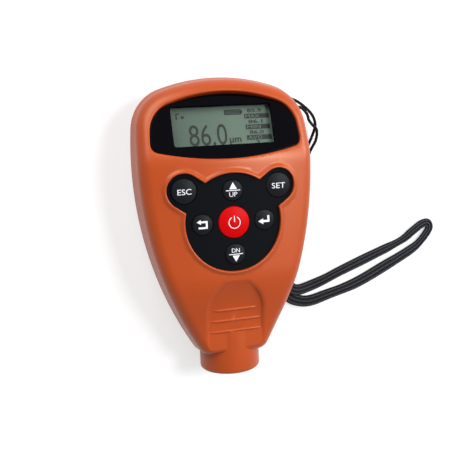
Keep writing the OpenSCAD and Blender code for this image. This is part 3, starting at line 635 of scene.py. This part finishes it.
def windowCurve():
    # side curve of the rim down to the bottom arc, with a rounded corner
    w = windowForm
    lift = 1 / cos(radians(caseForm["tilt"]))
    side = [(0, (caseForm["topY"] - w["rim"] - caseForm["bendY"]) * lift)]
    side += [(x, (y - caseForm["bendY"]) * lift) for x, y in outlineRight(w["rim"])]

    def arcY(x):
        return w["bottomRadius"] - sqrt(w["bottomRadius"] ** 2 - x * x)

    side = [p for p in side if p[1] > arcY(p[0])]
    x = side[-1][0]
    corner = (x, arcY(x))
    side = [p for p in side if hypot(p[0] - corner[0], p[1] - corner[1]) > w["corner"]]
    start = side[-1]
    end = (corner[0] - w["corner"], arcY(corner[0] - w["corner"]))
    fillet = []
    for k in range(1, w["cornerSteps"]):
        t = k / w["cornerSteps"]
        ways = zip(start, corner, end)
        fillet.append(tuple((1 - t) ** 2 * a + 2 * t * (1 - t) * c + t * t * b for a, c, b in ways))
    reach = [end[0] * (1 - k / w["bottomSteps"]) for k in range(w["bottomSteps"])]
    right = side + fillet + [(x, arcY(x)) for x in reach]
    return right + [(0, 0)] + [(-a, b) for a, b in reversed(right[1:])]


def evenLoop(points, count):
    # the same loop with points at even steps
    closed = points + [points[0]]
    lengths = [hypot(b[0] - a[0], b[1] - a[1]) for a, b in zip(closed, closed[1:])]
    total = sum(lengths)
    result, i, passed = [], 0, 0.0
    for k in range(count):
        goal = total * k / count
        while passed + lengths[i] < goal:
            passed += lengths[i]
            i += 1
        t = (goal - passed) / lengths[i]
        a, b = closed[i], closed[i + 1]
        result.append((a[0] + (b[0] - a[0]) * t, a[1] + (b[1] - a[1]) * t))
    return result


windowLoop = evenLoop(windowCurve(), windowForm["points"])


def grownLoop(loop, grow):
    # a clockwise loop moved outwards along its own normals
    moved = []
    for i, (x, y) in enumerate(loop):
        (ax, ay), (bx, by) = loop[i - 1], loop[(i + 1) % len(loop)]
        size = hypot(bx - ax, by - ay)
        moved.append((x - grow * (by - ay) / size, y + grow * (bx - ax) / size))
    return moved


def windowRing(grow, z):
    return [onHead(x, y, z) for x, y in grownLoop(windowLoop, grow)]


def windowFaceRing(grow, rise):
    ring = []
    for x, y in grownLoop(windowLoop, grow):
        px, py, pz = onHead(x, y, 0)
        z = (bodyHeight(px, py) - pz) * cos(radians(caseForm["tilt"]))
        ring.append(onHead(x, y, z + rise))
    return ring


def windowCutter():
    rings = [windowRing(0, windowForm["lensLow"])]
    rings += [windowFaceRing(grow, rise) for grow, rise in windowForm["flare"]]
    return loftRings("windowCutter", rings)


def atBosses(name, *profile):
    places = [(side * x, y) for x, y in bossForm["places"] for side in (-1, 1)]
    return joinPieces(name, [turnedUp(name, x, y, profile, bossForm["sides"]) for x, y in places])


def slotRays():
    # arched outline of the scoop as shares of its half width, open past the bottom edge
    s = scoopForm
    archY = s["topY"] - s["arch"] * s["halfWidth"]
    low = caseForm["bottomY"] - s["openPast"]
    turns = [radians(90 - 90 * i / s["archSteps"]) for i in range(s["archSteps"] + 1)]
    right = [(cos(a), sin(a), archY) for a in turns]
    right += [(1, 0, archY + (low - archY) * i / s["sideSteps"]) for i in range(1, s["sideSteps"] + 1)]
    bottom = [(1 - 2 * i / s["bottomSteps"], 0, low) for i in range(1, s["bottomSteps"])]
    return right + bottom + [(-x, up, y) for x, up, y in reversed(right[1:])]


def scoopRing(inset, share, drop, grow):
    # one ring of the scoop, a share of the way from the face down to the floor, on its leaning wall
    s = scoopForm
    ring = []
    for across, up, base in slotRays():
        z = caseForm["face"]
        for step in range(s["fitRounds"]):
            half = s["halfWidth"] - s["lean"] * (caseForm["face"] - z) / s["depth"] - inset + grow
            x, y = half * across, base + s["arch"] * half * up
            face = bodyHeight(x, y)
            deep = max(face - scoopHeight(y), 0)
            z = max(face - deep * share - drop, scoopHeight(y))
        ring.append((x, y, z - grow))
    return ring


def scoopCutter(name, grow=0):
    s = scoopForm
    edgeDrop = s["edge"][-1][1]
    rings = [scoopRing(inset, 0, drop, grow) for inset, drop in s["edge"]]
    rings += [scoopRing(inset, share, edgeDrop * (1 - share), grow) for inset, share in s["foot"]]
    rings += [scoopRing(inset, 1, 0, grow) for inset in s["floor"]]
    if grow:
        rings[0] = [(x, y, farUp) for x, y, z in rings[0]]
    return loftRings(name, rings)


def gripRib(y, reach):
    # a round bar with blunt ends, its axis just under the floor of the scoop
    s = scoopForm
    z = scoopHeight(y) - s["ribSunk"]
    turns = [2 * pi * k / s["ribSides"] for k in range(s["ribSides"])]
    rings = []
    for i in range(s["ribRings"]):
        along = -cos(pi * (0.5 + i) / s["ribRings"])
        r = s["ribRadius"] * (1 - along ** s["ribBlunt"]) ** 0.5
        rings.append([(along * reach, y + r * cos(a), z + r * sin(a)) for a in turns])
    return loftRings("gripRib", rings)


def buildFrontCover():
    w, b = windowForm, bossForm
    cavity = frontCavity()
    cutAway(cavity, noseHalf("noseKeep", True))
    cutAway(cavity, scoopCutter("scoopKeep", caseForm["wall"] - scoopForm["thinner"]))
    room = [windowRing(w["ledge"], w["ledgeLow"]), windowRing(w["ledge"], w["keepTop"])]
    cutAway(cavity, loftRings("windowKeep", room))
    cutAway(cavity, atBosses("bossKeep", (b["radius"], b["frontLow"]), (b["radius"], farUp)))
    cover = frontSolid()
    cutAway(cover, scoopCutter("scoopCut"))
    addOn(cover, noseHalf("noseFront", True), padLip())
    for y, reach in scoopForm["ribs"]:
        addOn(cover, gripRib(y, reach))
    opening = [windowRing(-w["ledge"], w["holeLow"]), windowRing(-w["ledge"], 0)]
    cutAway(cover, cavity, windowCutter(), loftRings("windowHole", opening), padCutter())
    cutAway(cover, probeBore("boreFront"))
    cutAway(cover, atBosses("screwHole", *[(b["pilot"], z) for z in b["pilotZ"]]))
    mergeSlivers(cover)
    finishPiece(cover, "case", "orange_shell")
    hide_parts("front_cover")
    print("front cover:", len(cover.data.polygons), "faces")


doorForm = {"halfWidth": 13.2, "lowY": -20.83, "highY": 36.57, "gap": 0.25, "corner": 2, "cornerSteps": 8,
            "ledge": 1.4, "ledgeTop": 3.6, "inner": 2.05, "cutTop": 4}
bayForm = {"halfWidth": 11.2, "lowY": -18.43, "highY": 31.97, "base": 1, "ceiling": 13.2, "roof": 1.2,
           "wall": 1.4, "slip": 0.1, "tabX": 8, "tabHalf": 2.8, "tabReach": 10,
           "latchHalf": 4.4, "latchIn": 0.9, "slotTop": 7}
lugForm = {"angle": 33, "inset": 2.4, "radius": 1.1, "width": 5.8, "depth": 5.4, "low": 4, "height": 4.8,
           "wall": 1.4, "outside": 6, "rooted": 0.5}


def doorBox(name, grow, low, high):
    d = doorForm
    r = d["corner"] + grow
    x, top, bottom = d["halfWidth"] + grow - r, d["highY"] + grow - r, d["lowY"] - grow + r
    corners = ((x, top, 0), (-x, top, 90), (-x, bottom, 180), (x, bottom, 270))
    loop = [p for px, py, a in corners for p in arcPoints((px, py), r, a, a + 90, d["cornerSteps"], 0)]
    return loftRings(name, [[(px, py, z) for px, py in loop] for z in (low, high)])


def lugBlock(name, reach, half, low, high):
    # a block on the shoulder's own axis, from reach inwards to outside the wall
    block = addBlock(name, (-reach, -half, low), (lugForm["outside"], half, high))
    turn = Matrix.Rotation(radians(lugForm["angle"]), 4, "Z")
    place = Matrix.Translation((shoulderCentre[0] * mm, shoulderCentre[1] * mm, 0)) @ turn
    block.data.transform(place @ Matrix.Translation((caseForm["shoulderRadius"] * mm, 0, 0)))
    return block


def buildBay():
    b, d = bayForm, doorForm
    half, wall = b["halfWidth"], b["wall"]
    bay = doorBox("batteryBay", d["gap"] + d["ledge"], b["base"], d["ledgeTop"])
    addOn(bay, addBlock("bayWalls", (-half - wall, b["lowY"] - wall, b["base"]),
                        (half + wall, b["highY"] + wall, b["ceiling"] + b["roof"])))
    cutAway(bay, addBlock("bayRoom", (-half, b["lowY"], -cutPast), (half, b["highY"], b["ceiling"])))
    cutAway(bay, doorBox("doorRoom", d["gap"], -cutPast, d["inner"] + b["slip"]))
    for x in (-b["tabX"], b["tabX"]):
        cutAway(bay, addBlock("tabSlot", (x - b["tabHalf"], b["highY"] + wall + b["slip"], d["inner"]),
                              (x + b["tabHalf"], b["highY"] + b["tabReach"], b["slotTop"])))
    cutAway(bay, addBlock("latchSlot", (-b["latchHalf"], d["lowY"] - cutPast, d["inner"]),
                          (b["latchHalf"], d["lowY"] + b["latchIn"], b["slotTop"])))
    return bay


def buildRearCover():
    g, b = lugForm, bossForm
    cavity = rearCavity()
    cutAway(cavity, noseHalf("noseKeep", False))
    cutAway(cavity, atBosses("bossKeep", (b["radius"], -cutPast), (b["radius"], b["rearTop"])))
    lugTop = g["low"] + g["height"]
    cutAway(cavity, lugBlock("lugKeep", g["depth"] + g["wall"], g["width"] / 2 + g["wall"],
                             -cutPast, lugTop + g["wall"]))
    cover = rearSolid()
    addOn(cover, noseHalf("noseRear", False))
    cutAway(cover, cavity, probeBore("boreRear"))
    cutAway(cover, doorBox("doorOpening", doorForm["gap"], -cutPast, doorForm["cutTop"]))
    head, wide = b["headRadius"], b["headRadius"] + b["chamfer"]
    sink = ((wide, -cutPast), (wide, 0), (head, b["chamfer"]), (head, b["headZ"]))
    cutAway(cover, atBosses("counterbore", *sink))
    cutAway(cover, atBosses("screwHole", *[(b["hole"], z) for z in b["holeZ"]]))
    cutAway(cover, lugBlock("lugNotch", g["depth"], g["width"] / 2, g["low"], lugTop))
    addOn(cover, buildBay())
    turn = radians(g["angle"])
    reach = caseForm["shoulderRadius"] - g["inset"]
    x, y = shoulderCentre[0] + reach * cos(turn), shoulderCentre[1] + reach * sin(turn)
    ends = (g["low"] - g["rooted"], lugTop + g["rooted"])
    addOn(cover, turnedUp("lugPost", x, y, [(g["radius"], z) for z in ends]))
    mergeSlivers(cover)
    finishPiece(cover, "case", "orange_shell")
    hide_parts("rear_cover")
    print("rear cover:", len(cover.data.polygons), "faces")


buildFrontCover()
buildRearCover()


# Flat marks, for the display and the keys
markForm = {"arcSteps": 32, "textSize": 10, "textSteps": 4}


def placeMark(x, y, change):
    mark = bpy.context.object
    mark.data.transform(Matrix.Translation((x * mm, y * mm, 0)) @ change)
    return mark


def flatBar(x, y, width, height):
    startFresh()
    bpy.ops.mesh.primitive_plane_add(size=1)
    return placeMark(x, y, Matrix.Diagonal((width * mm, height * mm, 1, 1)))


def flatTriangle(x, y, size, turn):
    startFresh()
    bpy.ops.mesh.primitive_circle_add(vertices=3, radius=size * mm, fill_type="NGON")
    return placeMark(x, y, Matrix.Rotation(radians(turn), 4, "Z"))


def flatArc(x, y, radius, width, start, end):
    # part of a ring, from two rows of points
    startFresh()
    bpy.ops.mesh.primitive_grid_add(x_subdivisions=markForm["arcSteps"], y_subdivisions=1, size=1)
    arc = bpy.context.object
    for v in arc.data.vertices:
        a = radians(start + (end - start) * (v.co.x + 0.5))
        r = radius + width * v.co.y
        v.co = Vector((x + r * cos(a), y + r * sin(a), 0)) * mm
    return arc


def flatText(x, y, words, width, height, bold=0):
    # plain letters, fitted to a width and a height round their centre
    startFresh()
    bpy.ops.object.text_add()
    text = bpy.context.object
    text.data.body = words
    text.data.size = markForm["textSize"] * mm
    text.data.resolution_u = markForm["textSteps"]
    text.data.offset = bold * mm
    bpy.ops.object.convert(target="MESH")
    piece = bpy.context.object
    xs = [v.co.x for v in piece.data.vertices]
    ys = [v.co.y for v in piece.data.vertices]
    middle = Matrix.Translation((-(min(xs) + max(xs)) / 2, -(min(ys) + max(ys)) / 2, 0))
    size = Matrix.Diagonal((width * mm / (max(xs) - min(xs)), height * mm / (max(ys) - min(ys)), 1, 1))
    piece.data.transform(Matrix.Translation((x * mm, y * mm, 0)) @ size @ middle)
    return piece


def thicken(piece, depth):
    pick(piece)
    applyStep(piece, "SOLIDIFY", thickness=depth * mm, offset=1)


# Display: black lens with a clear window, and the ink on the glass behind it
displayForm = {"fit": 0.15, "edge": 0.25, "edgeSteps": 4, "x": -0.7, "y": 12.3,
               "clearWidth": 35.6, "clearHeight": 14, "clearCorner": 0.8, "cornerSteps": 6,
               "glassTop": -4.85, "ink": 0.03}
inkForm = {  # x and y from the display's top left corner, then words, width, height and extra weight
    "reading": ((12.7, 9.7, "86.0", 13.4, 7.5), (22.2, 12.2, "\u00b5m", 4.2, 2.3, 0.25)),
    "signs": ((2.3, 2.7, 0.5, 2.2), (2.9, 1.8, 0.9, 0.45), (4.4, 3.1, 1, 1),
              (22.3, 1.2, 6, 0.4), (22.3, 1.7, 6, 0.4), (22.3, 2.2, 6, 0.4), (22.3, 2.7, 6, 0.4),
              (25.6, 1.95, 0.5, 1), (19.4, 1.95, 0.3, 1.8), (25.2, 1.95, 0.3, 1.8),
              (30.9, 3.6, 9, 1.7), (30.9, 7.5, 9, 1.7), (30.9, 11.3, 9, 1.7)),
    "rows": ((30.2, 1.6, "85.9", 5.2, 1.35, 0.25), (30.2, 5.55, "86.1", 5.2, 1.35, 0.25),
             (30.2, 9.4, "86.0", 5.2, 1.35, 0.25), (30.2, 13, "3", 1.3, 1.35, 0.25)),
    "words": ((29.4, 3.6, "MAX", 5, 1.05), (29.4, 7.5, "MIN", 5, 1.05), (29.4, 11.3, "AVG", 5, 1.05)),
    "rise": 0.01, "wordsRise": 0.05,
}


def clearRing(z):
    d = displayForm
    x, y, c = d["clearWidth"] / 2, d["clearHeight"] / 2, d["clearCorner"]
    corners = ((x - c, y - c, 90), (x - c, c - y, 0), (c - x, c - y, -90), (c - x, y - c, -180))
    loop = [(0, y)]
    for px, py, a in corners:
        loop += arcPoints((px, py), c, a, a - 90, d["cornerSteps"], 0)
    return [onHead(px + d["x"], py + d["y"], z) for px, py in evenLoop(loop, len(windowLoop))]


def buildLens():
    w, d = windowForm, displayForm
    top, low = w["lensTop"], w["lensLow"]
    rings = [clearRing(low), windowRing(-d["fit"], low)]
    rings += [windowRing(-d["fit"] - u, top - v) for u, v in quarterRound(d["edge"], d["edgeSteps"])]
    lens = loftRings("displayLens", rings + [clearRing(top)])
    finishPiece(lens, "case", "lens_black", angle=25)
    lens.data.materials.append(finishes["lens_clear"])
    for face in lens.data.polygons:
        # only the two sides of the clear window have more than four corners
        if len(face.vertices) > 4:
            face.material_index = 1
    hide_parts("display_lens")
    print("lens:", len(lens.data.polygons), "faces")


def onGlass(draw, marks):
    # marks are drawn from the display's own top left corner
    d = displayForm
    left, top = d["x"] - d["clearWidth"] / 2, d["y"] + d["clearHeight"] / 2
    return [draw(left + x, top - y, *rest) for x, y, *rest in marks]


def layOnGlass(name, marks, rise, finish):
    # marks go just above the glass, in the plane of the head
    ink = joinPieces(name, marks)
    thicken(ink, displayForm["ink"])
    ink.data.transform(headPlace @ Matrix.Translation((0, 0, (displayForm["glassTop"] + rise) * mm)))
    finishPiece(ink, "case", finish)
    print(name + ":", len(ink.data.polygons), "faces")


def buildDisplayInk():
    k = inkForm
    marks = onGlass(flatText, k["reading"]) + onGlass(flatBar, k["signs"]) + onGlass(flatText, k["rows"])
    layOnGlass("displayInk", marks, k["rise"], "lcd_ink")
    layOnGlass("displayBars", onGlass(flatText, k["words"]), k["wordsRise"], "lcd_green")


buildLens()
buildDisplayInk()


# Keys: domed caps with a lip behind the mat, and white legends on their tops
keyForm = {"rise": 0.3, "rounding": 0.45, "domeShare": 4, "lipTop": 23.9, "lip": 0.45, "lipThick": 0.8,
           "pillRadius": 1.8, "pillZ": 21.7, "roundSteps": 6, "domeSteps": 10, "sides": 64,
           "legend": 0.05, "legendGap": 0.02, "legendCuts": 2}
keys = {  # x and y from the keypad centre, and radius
    "left_key": (-16.6, 11.7, 4.4), "right_key": (16.6, 11.7, 4.4),
    "up_key": (0, 11, 3.6), "down_key": (0, -11, 3.6),
    "back_key": (-11, 0, 3.6), "enter_key": (11, 0, 3.6), "power_key": (0, 0, 5.5),
}
legends = {  # what draws each mark, its x and y from the key's centre, and its measures
    "left_key": ((flatText, 0, -0.2, "ESC", 4.8, 1.9),),
    "right_key": ((flatText, 0, -0.2, "SET", 4.8, 1.9),),
    "up_key": ((flatTriangle, 0, 1.2, 1.55, 0), (flatBar, 0, 0, 5, 0.28),
               (flatText, 0, -1.35, "UP", 2.8, 1.6)),
    "down_key": ((flatTriangle, 0, -1.2, 1.5, 180), (flatBar, 0, 0, 5, 0.28),
                 (flatText, 0, 1.3, "DN", 2.8, 1.4)),
    "back_key": ((flatTriangle, -1.2, 0.95, 0.95, 90), (flatBar, 0.3, 0.95, 2.3, 0.65),
                 (flatBar, 1.3, -0.05, 0.7, 2.5), (flatBar, -0.05, -1.05, 3, 0.65)),
    "enter_key": ((flatTriangle, -1.2, -0.45, 1.2, 90), (flatBar, 0.35, -0.45, 2.4, 0.75),
                  (flatBar, 1.3, 0.4, 0.75, 2.2)),
    "power_key": ((flatArc, 0, 0, 2, 0.26, 118, 422), (flatBar, 0, 1.25, 0.26, 2.1)),
}


def buildKey(name, x, y, radius):
    k = keyForm
    y += padForm["y"]
    top = bodyHeight(x, y) + k["rise"]
    dome = radius * k["domeShare"]

    def domeZ(r):
        return top - dome + sqrt(dome * dome - r * r)

    lipLow, lipRadius = k["lipTop"] - k["lipThick"], radius + k["lip"]
    edge = radius - k["rounding"]
    profile = [(k["pillRadius"], k["pillZ"]), (k["pillRadius"], lipLow),
               (lipRadius, lipLow), (lipRadius, k["lipTop"]), (radius, k["lipTop"])]
    turns = [radians(90 * i / k["roundSteps"]) for i in range(k["roundSteps"])]
    profile += [(edge + k["rounding"] * cos(a), domeZ(edge) - k["rounding"] * (1 - sin(a))) for a in turns]
    reach = [edge * (1 - i / k["domeSteps"]) for i in range(k["domeSteps"])]
    profile += [(r, domeZ(r)) for r in reach]
    key = turnedUp(name.replace("_k", "K"), x, y, profile, k["sides"])
    finishPiece(key, name, "key_red" if name == "power_key" else "key_black", angle=40)
    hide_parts(name)
    return key


def layOnKey(name, key, body, marks):
    # marks are let down on the key from above
    k = keyForm
    legend = joinPieces(name, marks)
    openMesh()
    bpy.ops.mesh.subdivide(number_cuts=k["legendCuts"])
    closeMesh()
    legend.data.transform(Matrix.Translation((0, 0, farUp * mm)))
    applyStep(legend, "SHRINKWRAP", target=key, wrap_method="PROJECT", use_project_z=True,
              use_negative_direction=True, use_positive_direction=False, offset=k["legendGap"] * mm)
    thicken(legend, k["legend"])
    finishPiece(legend, body, "legend_white")


def buildKeys():
    made = {name: buildKey(name, *place) for name, place in keys.items()}
    for name, rows in legends.items():
        x, y = keys[name][0], keys[name][1] + padForm["y"]
        marks = [draw(x + right, y + up, *rest) for draw, right, up, *rest in rows]
        layOnKey(name.replace("_key", "Legend"), made[name], name, marks)
    print("keys:", len(made))


buildKeys()


# Spring behind the probe, built at one length; the real one shortens as the probe is pressed in
springForm = {"radius": 4.2, "wire": 0.35, "turns": 4, "steps": 32, "sides": 12, "travel": 1.5}


def buildProbeSpring():
    s = springForm
    low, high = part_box("probe_spring")
    startFresh()
    bpy.ops.mesh.primitive_circle_add(vertices=s["sides"], radius=s["wire"] * mm)
    spring = bpy.context.object
    spring.name = "probeSpring"
    openMesh()
    bpy.ops.transform.translate(value=(s["radius"] * mm, 0, 0))
    closeMesh()
    pitch = (high.y - low.y - 2 * s["wire"] * mm) / s["turns"]
    applyStep(spring, "SCREW", axis="Y", iterations=s["turns"], steps=s["steps"], render_steps=s["steps"],
              screw_offset=pitch)
    openMesh()
    bpy.ops.mesh.fill_holes(sides=0)
    bpy.ops.mesh.normals_make_consistent()
    closeMesh()
    spring.data.transform(Matrix.Translation((0, low.y + s["wire"] * mm, caseForm["seam"] * mm)))
    finishPiece(spring, "case", "steel", angle=60)
    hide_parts("probe_spring")
    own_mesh(spring)
    print("probe spring:", len(spring.data.polygons), "faces")


buildProbeSpring()


# Cords: routes laid on the resting plane, in millimetres
cordForm = {"diameter": 1.2, "strands": 3, "twist": 4, "relief": 0.07, "sides": 12, "step": 0.4}
strapForm = {
    "width": 4.2, "thick": 1.6, "blunt": 6, "ridges": 3, "crest": 0.94, "groove": 0.42, "grooveSharp": 3,
    "plait": 2.4, "relief": 0.06, "sides": 48, "step": 0.5,
    "widths": (  # millimetres along, and the width that the slack braid has there
        (0, 4.4), (20, 4.4), (30, 4), (45, 4.2), (55, 3.9), (62, 3.1), (69, 3.6), (79, 3.5),
        (86, 3.4), (94, 4.1), (108, 4.7), (118, 4.6), (128, 4.2), (138, 4.6), (166, 4.5)),
}
joinerForm = {"at": (28.6, -13), "turn": -15.6, "length": 9, "width": 5.8, "height": 4, "rounding": 1.2}
cordRoute = (
    (29.5, -8.5, 2), (30.4, -5.2, 1.6), (33, 4, 0.8), (34.6, 13, 0.8), (35.6, 20, 0.8), (37.4, 26, 1.6),
    (38.8, 29.5, 2.4), (40, 33.5, 3.6), (39.9, 35.8, 4.2), (38.6, 38.5, 4.8), (35.9, 41.2, 5.4),
    (32, 43.9, 6), (28.2, 45, 6.4), (25.6, 43.8, 6.4), (24.6, 42.5, 6.4), (25, 41, 6.4), (26.3, 40.1, 6.4),
    (27.8, 40.4, 6.4), (30.2, 41.6, 6.4), (33.6, 41.4, 6.2), (36.1, 39, 5.8), (36.9, 36.7, 5.6),
    (38.4, 34.8, 5.4), (40.2, 32.8, 5), (40.3, 29, 3.6), (38.6, 24.5, 1.4), (37.4, 20, 0.8),
    (36.4, 13, 0.8), (35, 4, 0.8), (32.4, -4.4, 1.6), (31.2, -8.9, 2),
)
strapRoute = (
    (27.4, -17.3, 3), (26.8, -20.2, 3), (26.6, -24, 3), (28.2, -27.6, 2.9), (31.6, -29.2, 2.3),
    (37.3, -28.4, 1.1), (43.7, -26.4, 1), (50.3, -23.8, 1), (63.7, -19, 1), (77.3, -14, 1), (83, -10.4, 1),
    (87.2, -7.8, 1), (90, -7.6, 1), (90.4, -10.2, 1), (86.6, -14.8, 1), (81.8, -18.2, 1), (70.4, -23.6, 1),
    (56.8, -29.5, 1), (43.6, -33, 1), (37.6, -34.4, 1), (33.2, -34.2, 1), (28.6, -32.2, 1),
    (25.8, -27.6, 1), (25.9, -22.2, 1), (27.4, -17.3, 1),
)


def smoothRoute(points, step):
    # a smooth curve through the points, sampled about every step
    points = [Vector(p) for p in points]
    path = []
    for i in range(len(points) - 1):
        a, b, c, d = points[max(i - 1, 0)], points[i], points[i + 1], points[min(i + 2, len(points) - 1)]
        count = max(2, round((c - b).length / step))
        for k in range(count):
            t = k / count
            bend = 2 * a - 5 * b + 4 * c - d + t * (3 * (b - c) + d - a)
            path.append(b + 0.5 * t * (c - a + t * bend))
    return path + [points[-1]]


def pathLength(path):
    return sum((b - a).length for a, b in zip(path, path[1:]))


def sweepTube(name, path, section, sides):
    # one closed tube along the path, with its own UV map in millimetres along and turns across
    verts, faces, uvs = [], [], []
    along, marks = 0.0, []
    for i, point in enumerate(path):
        if i:
            along += (point - path[i - 1]).length
        marks.append(along)
        ahead = (path[min(i + 1, len(path) - 1)] - path[max(i - 1, 0)]).normalized()
        side = Vector((0, 0, 1)).cross(ahead).normalized()
        up = ahead.cross(side)
        for k in range(sides):
            across, lift = section(k / sides, along)
            verts.append((point + side * across + up * lift) * mm)
    for i in range(len(path) - 1):
        for k in range(sides):
            n = (k + 1) % sides
            a, b = i * sides, (i + 1) * sides
            faces.append((a + k, a + n, b + n, b + k))
            left, right = k / sides, (k + 1) / sides
            uvs += [(left, marks[i]), (right, marks[i]), (right, marks[i + 1]), (left, marks[i + 1])]
    last = (len(path) - 1) * sides
    faces += [tuple(range(sides - 1, -1, -1)), tuple(range(last, last + sides))]
    uvs += [(k / sides, 0) for k in range(sides)] * 2
    mesh = bpy.data.meshes.new(name)
    mesh.from_pydata(verts, [], faces)
    layer = mesh.uv_layers.new(name="along")
    for loop, uv in zip(layer.data, uvs):
        loop.uv = uv
    tube = bpy.data.objects.new(name, mesh)
    scene.collection.objects.link(tube)
    return tube


def cordSection(turn, along):
    # round strands that wind along the cord
    c = cordForm
    wave = 1 - c["relief"] * (1 + cos(c["strands"] * 2 * pi * (turn - along / c["twist"])))
    return c["diameter"] / 2 * wave * cos(2 * pi * turn), c["diameter"] / 2 * wave * sin(2 * pi * turn)


def strapWidth(along):
    widths = strapForm["widths"]
    for (start, first), (end, last) in zip(widths, widths[1:]):
        if along <= end:
            t = (along - start) / (end - start)
            return first + (last - first) * t * t * (3 - 2 * t)
    return widths[-1][1]


def strapSection(turn, along):
    # a flat band with ridges along it and a plait on each ridge
    s = strapForm
    across = cos(2 * pi * turn)
    ridge = (across + 1) / 2 * s["ridges"]
    groove = s["groove"] * (0.5 + 0.5 * cos(2 * pi * ridge)) ** s["grooveSharp"]
    plait = s["relief"] * sin(2 * pi * along / s["plait"] + pi * int(ridge))
    lift = max(0, 1 - across ** s["blunt"]) ** 0.5 * (1 if sin(2 * pi * turn) >= 0 else -1)
    return strapWidth(along) / 2 * across, s["thick"] / 2 * lift * (s["crest"] - groove + plait)


def buildCords():
    startFresh()
    path = smoothRoute(cordRoute, cordForm["step"])
    cord = sweepTube("lanyardCord", path, cordSection, cordForm["sides"])
    finishPiece(cord, "case", "cord_black", angle=60)
    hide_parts("strap_cord")
    joiner = buildJoiner()
    route = smoothRoute(strapRoute, strapForm["step"])
    strap = sweepTube("wristStrap", route, strapSection, strapForm["sides"])
    finishPiece(strap, "case", "strap_black", angle=60)
    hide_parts("wrist_strap")
    print("cord", round(pathLength(path)), "mm, strap", round(pathLength(route)), "mm")


def buildJoiner():
    j = joinerForm
    x, y = j["width"] / 2, j["length"] / 2
    joiner = addBlock("strapJoiner", (-x, -y, 0), (x, y, j["height"]), j["rounding"])
    place = Matrix.Translation((j["at"][0] * mm, j["at"][1] * mm, 0))
    joiner.data.transform(place @ Matrix.Rotation(radians(j["turn"]), 4, "Z"))
    finishPiece(joiner, "case", "probe_black")
    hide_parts("strap_joiner")
    return joiner


buildCords()


# Floor, lamps and world
stageForm = {
    "floor": 3, "glow": 0.6, "world": 0.16,
    "lamps": {  # place, size and power
        "keyLamp": ((0.36, 0.13, 0.68), 0.2, 3.5),
        "sideLamp": ((0.68, 0.24, 0.4), 0.35, 3.5),
        "topLamp": ((-0.32, 0.62, 0.43), 0.55, 5.4),
    },
}


def addLamp(name, place, size, power):
    bpy.ops.object.light_add(type="AREA", location=place)
    lamp = bpy.context.object
    lamp.name = name
    lamp.data.size = size
    lamp.data.energy = power
    lamp.rotation_euler = Vector(place).to_track_quat("Z", "Y").to_euler()


def backdropRays(tree):
    # 1 for the rays that show the white background: straight, mirrored or through glass
    rays = addNode(tree, "LightPath")
    seen = reckon("MAXIMUM", rays.outputs["Is Camera Ray"], rays.outputs["Is Glossy Ray"])
    return reckon("MAXIMUM", seen, rays.outputs["Is Transmission Ray"])


def buildStage():
    f = stageForm
    startFresh()
    bpy.ops.mesh.primitive_plane_add(size=f["floor"])
    floor = bpy.context.object
    floor.name = "floor"
    tree = addFinish("floor_white", (178, 178, 178), (176, 176, 176), 0.9, depth=0.001,
                     Emission_Color=(1, 1, 1, 1))
    glow = reckon("MULTIPLY", backdropRays(tree), f["glow"])
    tree.links.new(glow, tree.nodes["Principled BSDF"].inputs["Emission Strength"])
    floor.data.materials.append(finishes["floor_white"])
    for name, (place, size, power) in f["lamps"].items():
        addLamp(name, place, size, power)
    world = bpy.data.worlds.new("studio")
    scene.world = world
    world.use_nodes = True
    tree = world.node_tree
    level = addNode(tree, "MapRange", To_Min=f["world"], To_Max=1)
    tree.links.new(backdropRays(tree), level.inputs["Value"])
    sky = setInputs(tree.nodes["Background"], Color=(1, 1, 1, 1))
    wire(level, "Result", sky, "Strength")
    print("stage built")


buildStage()
startFresh()
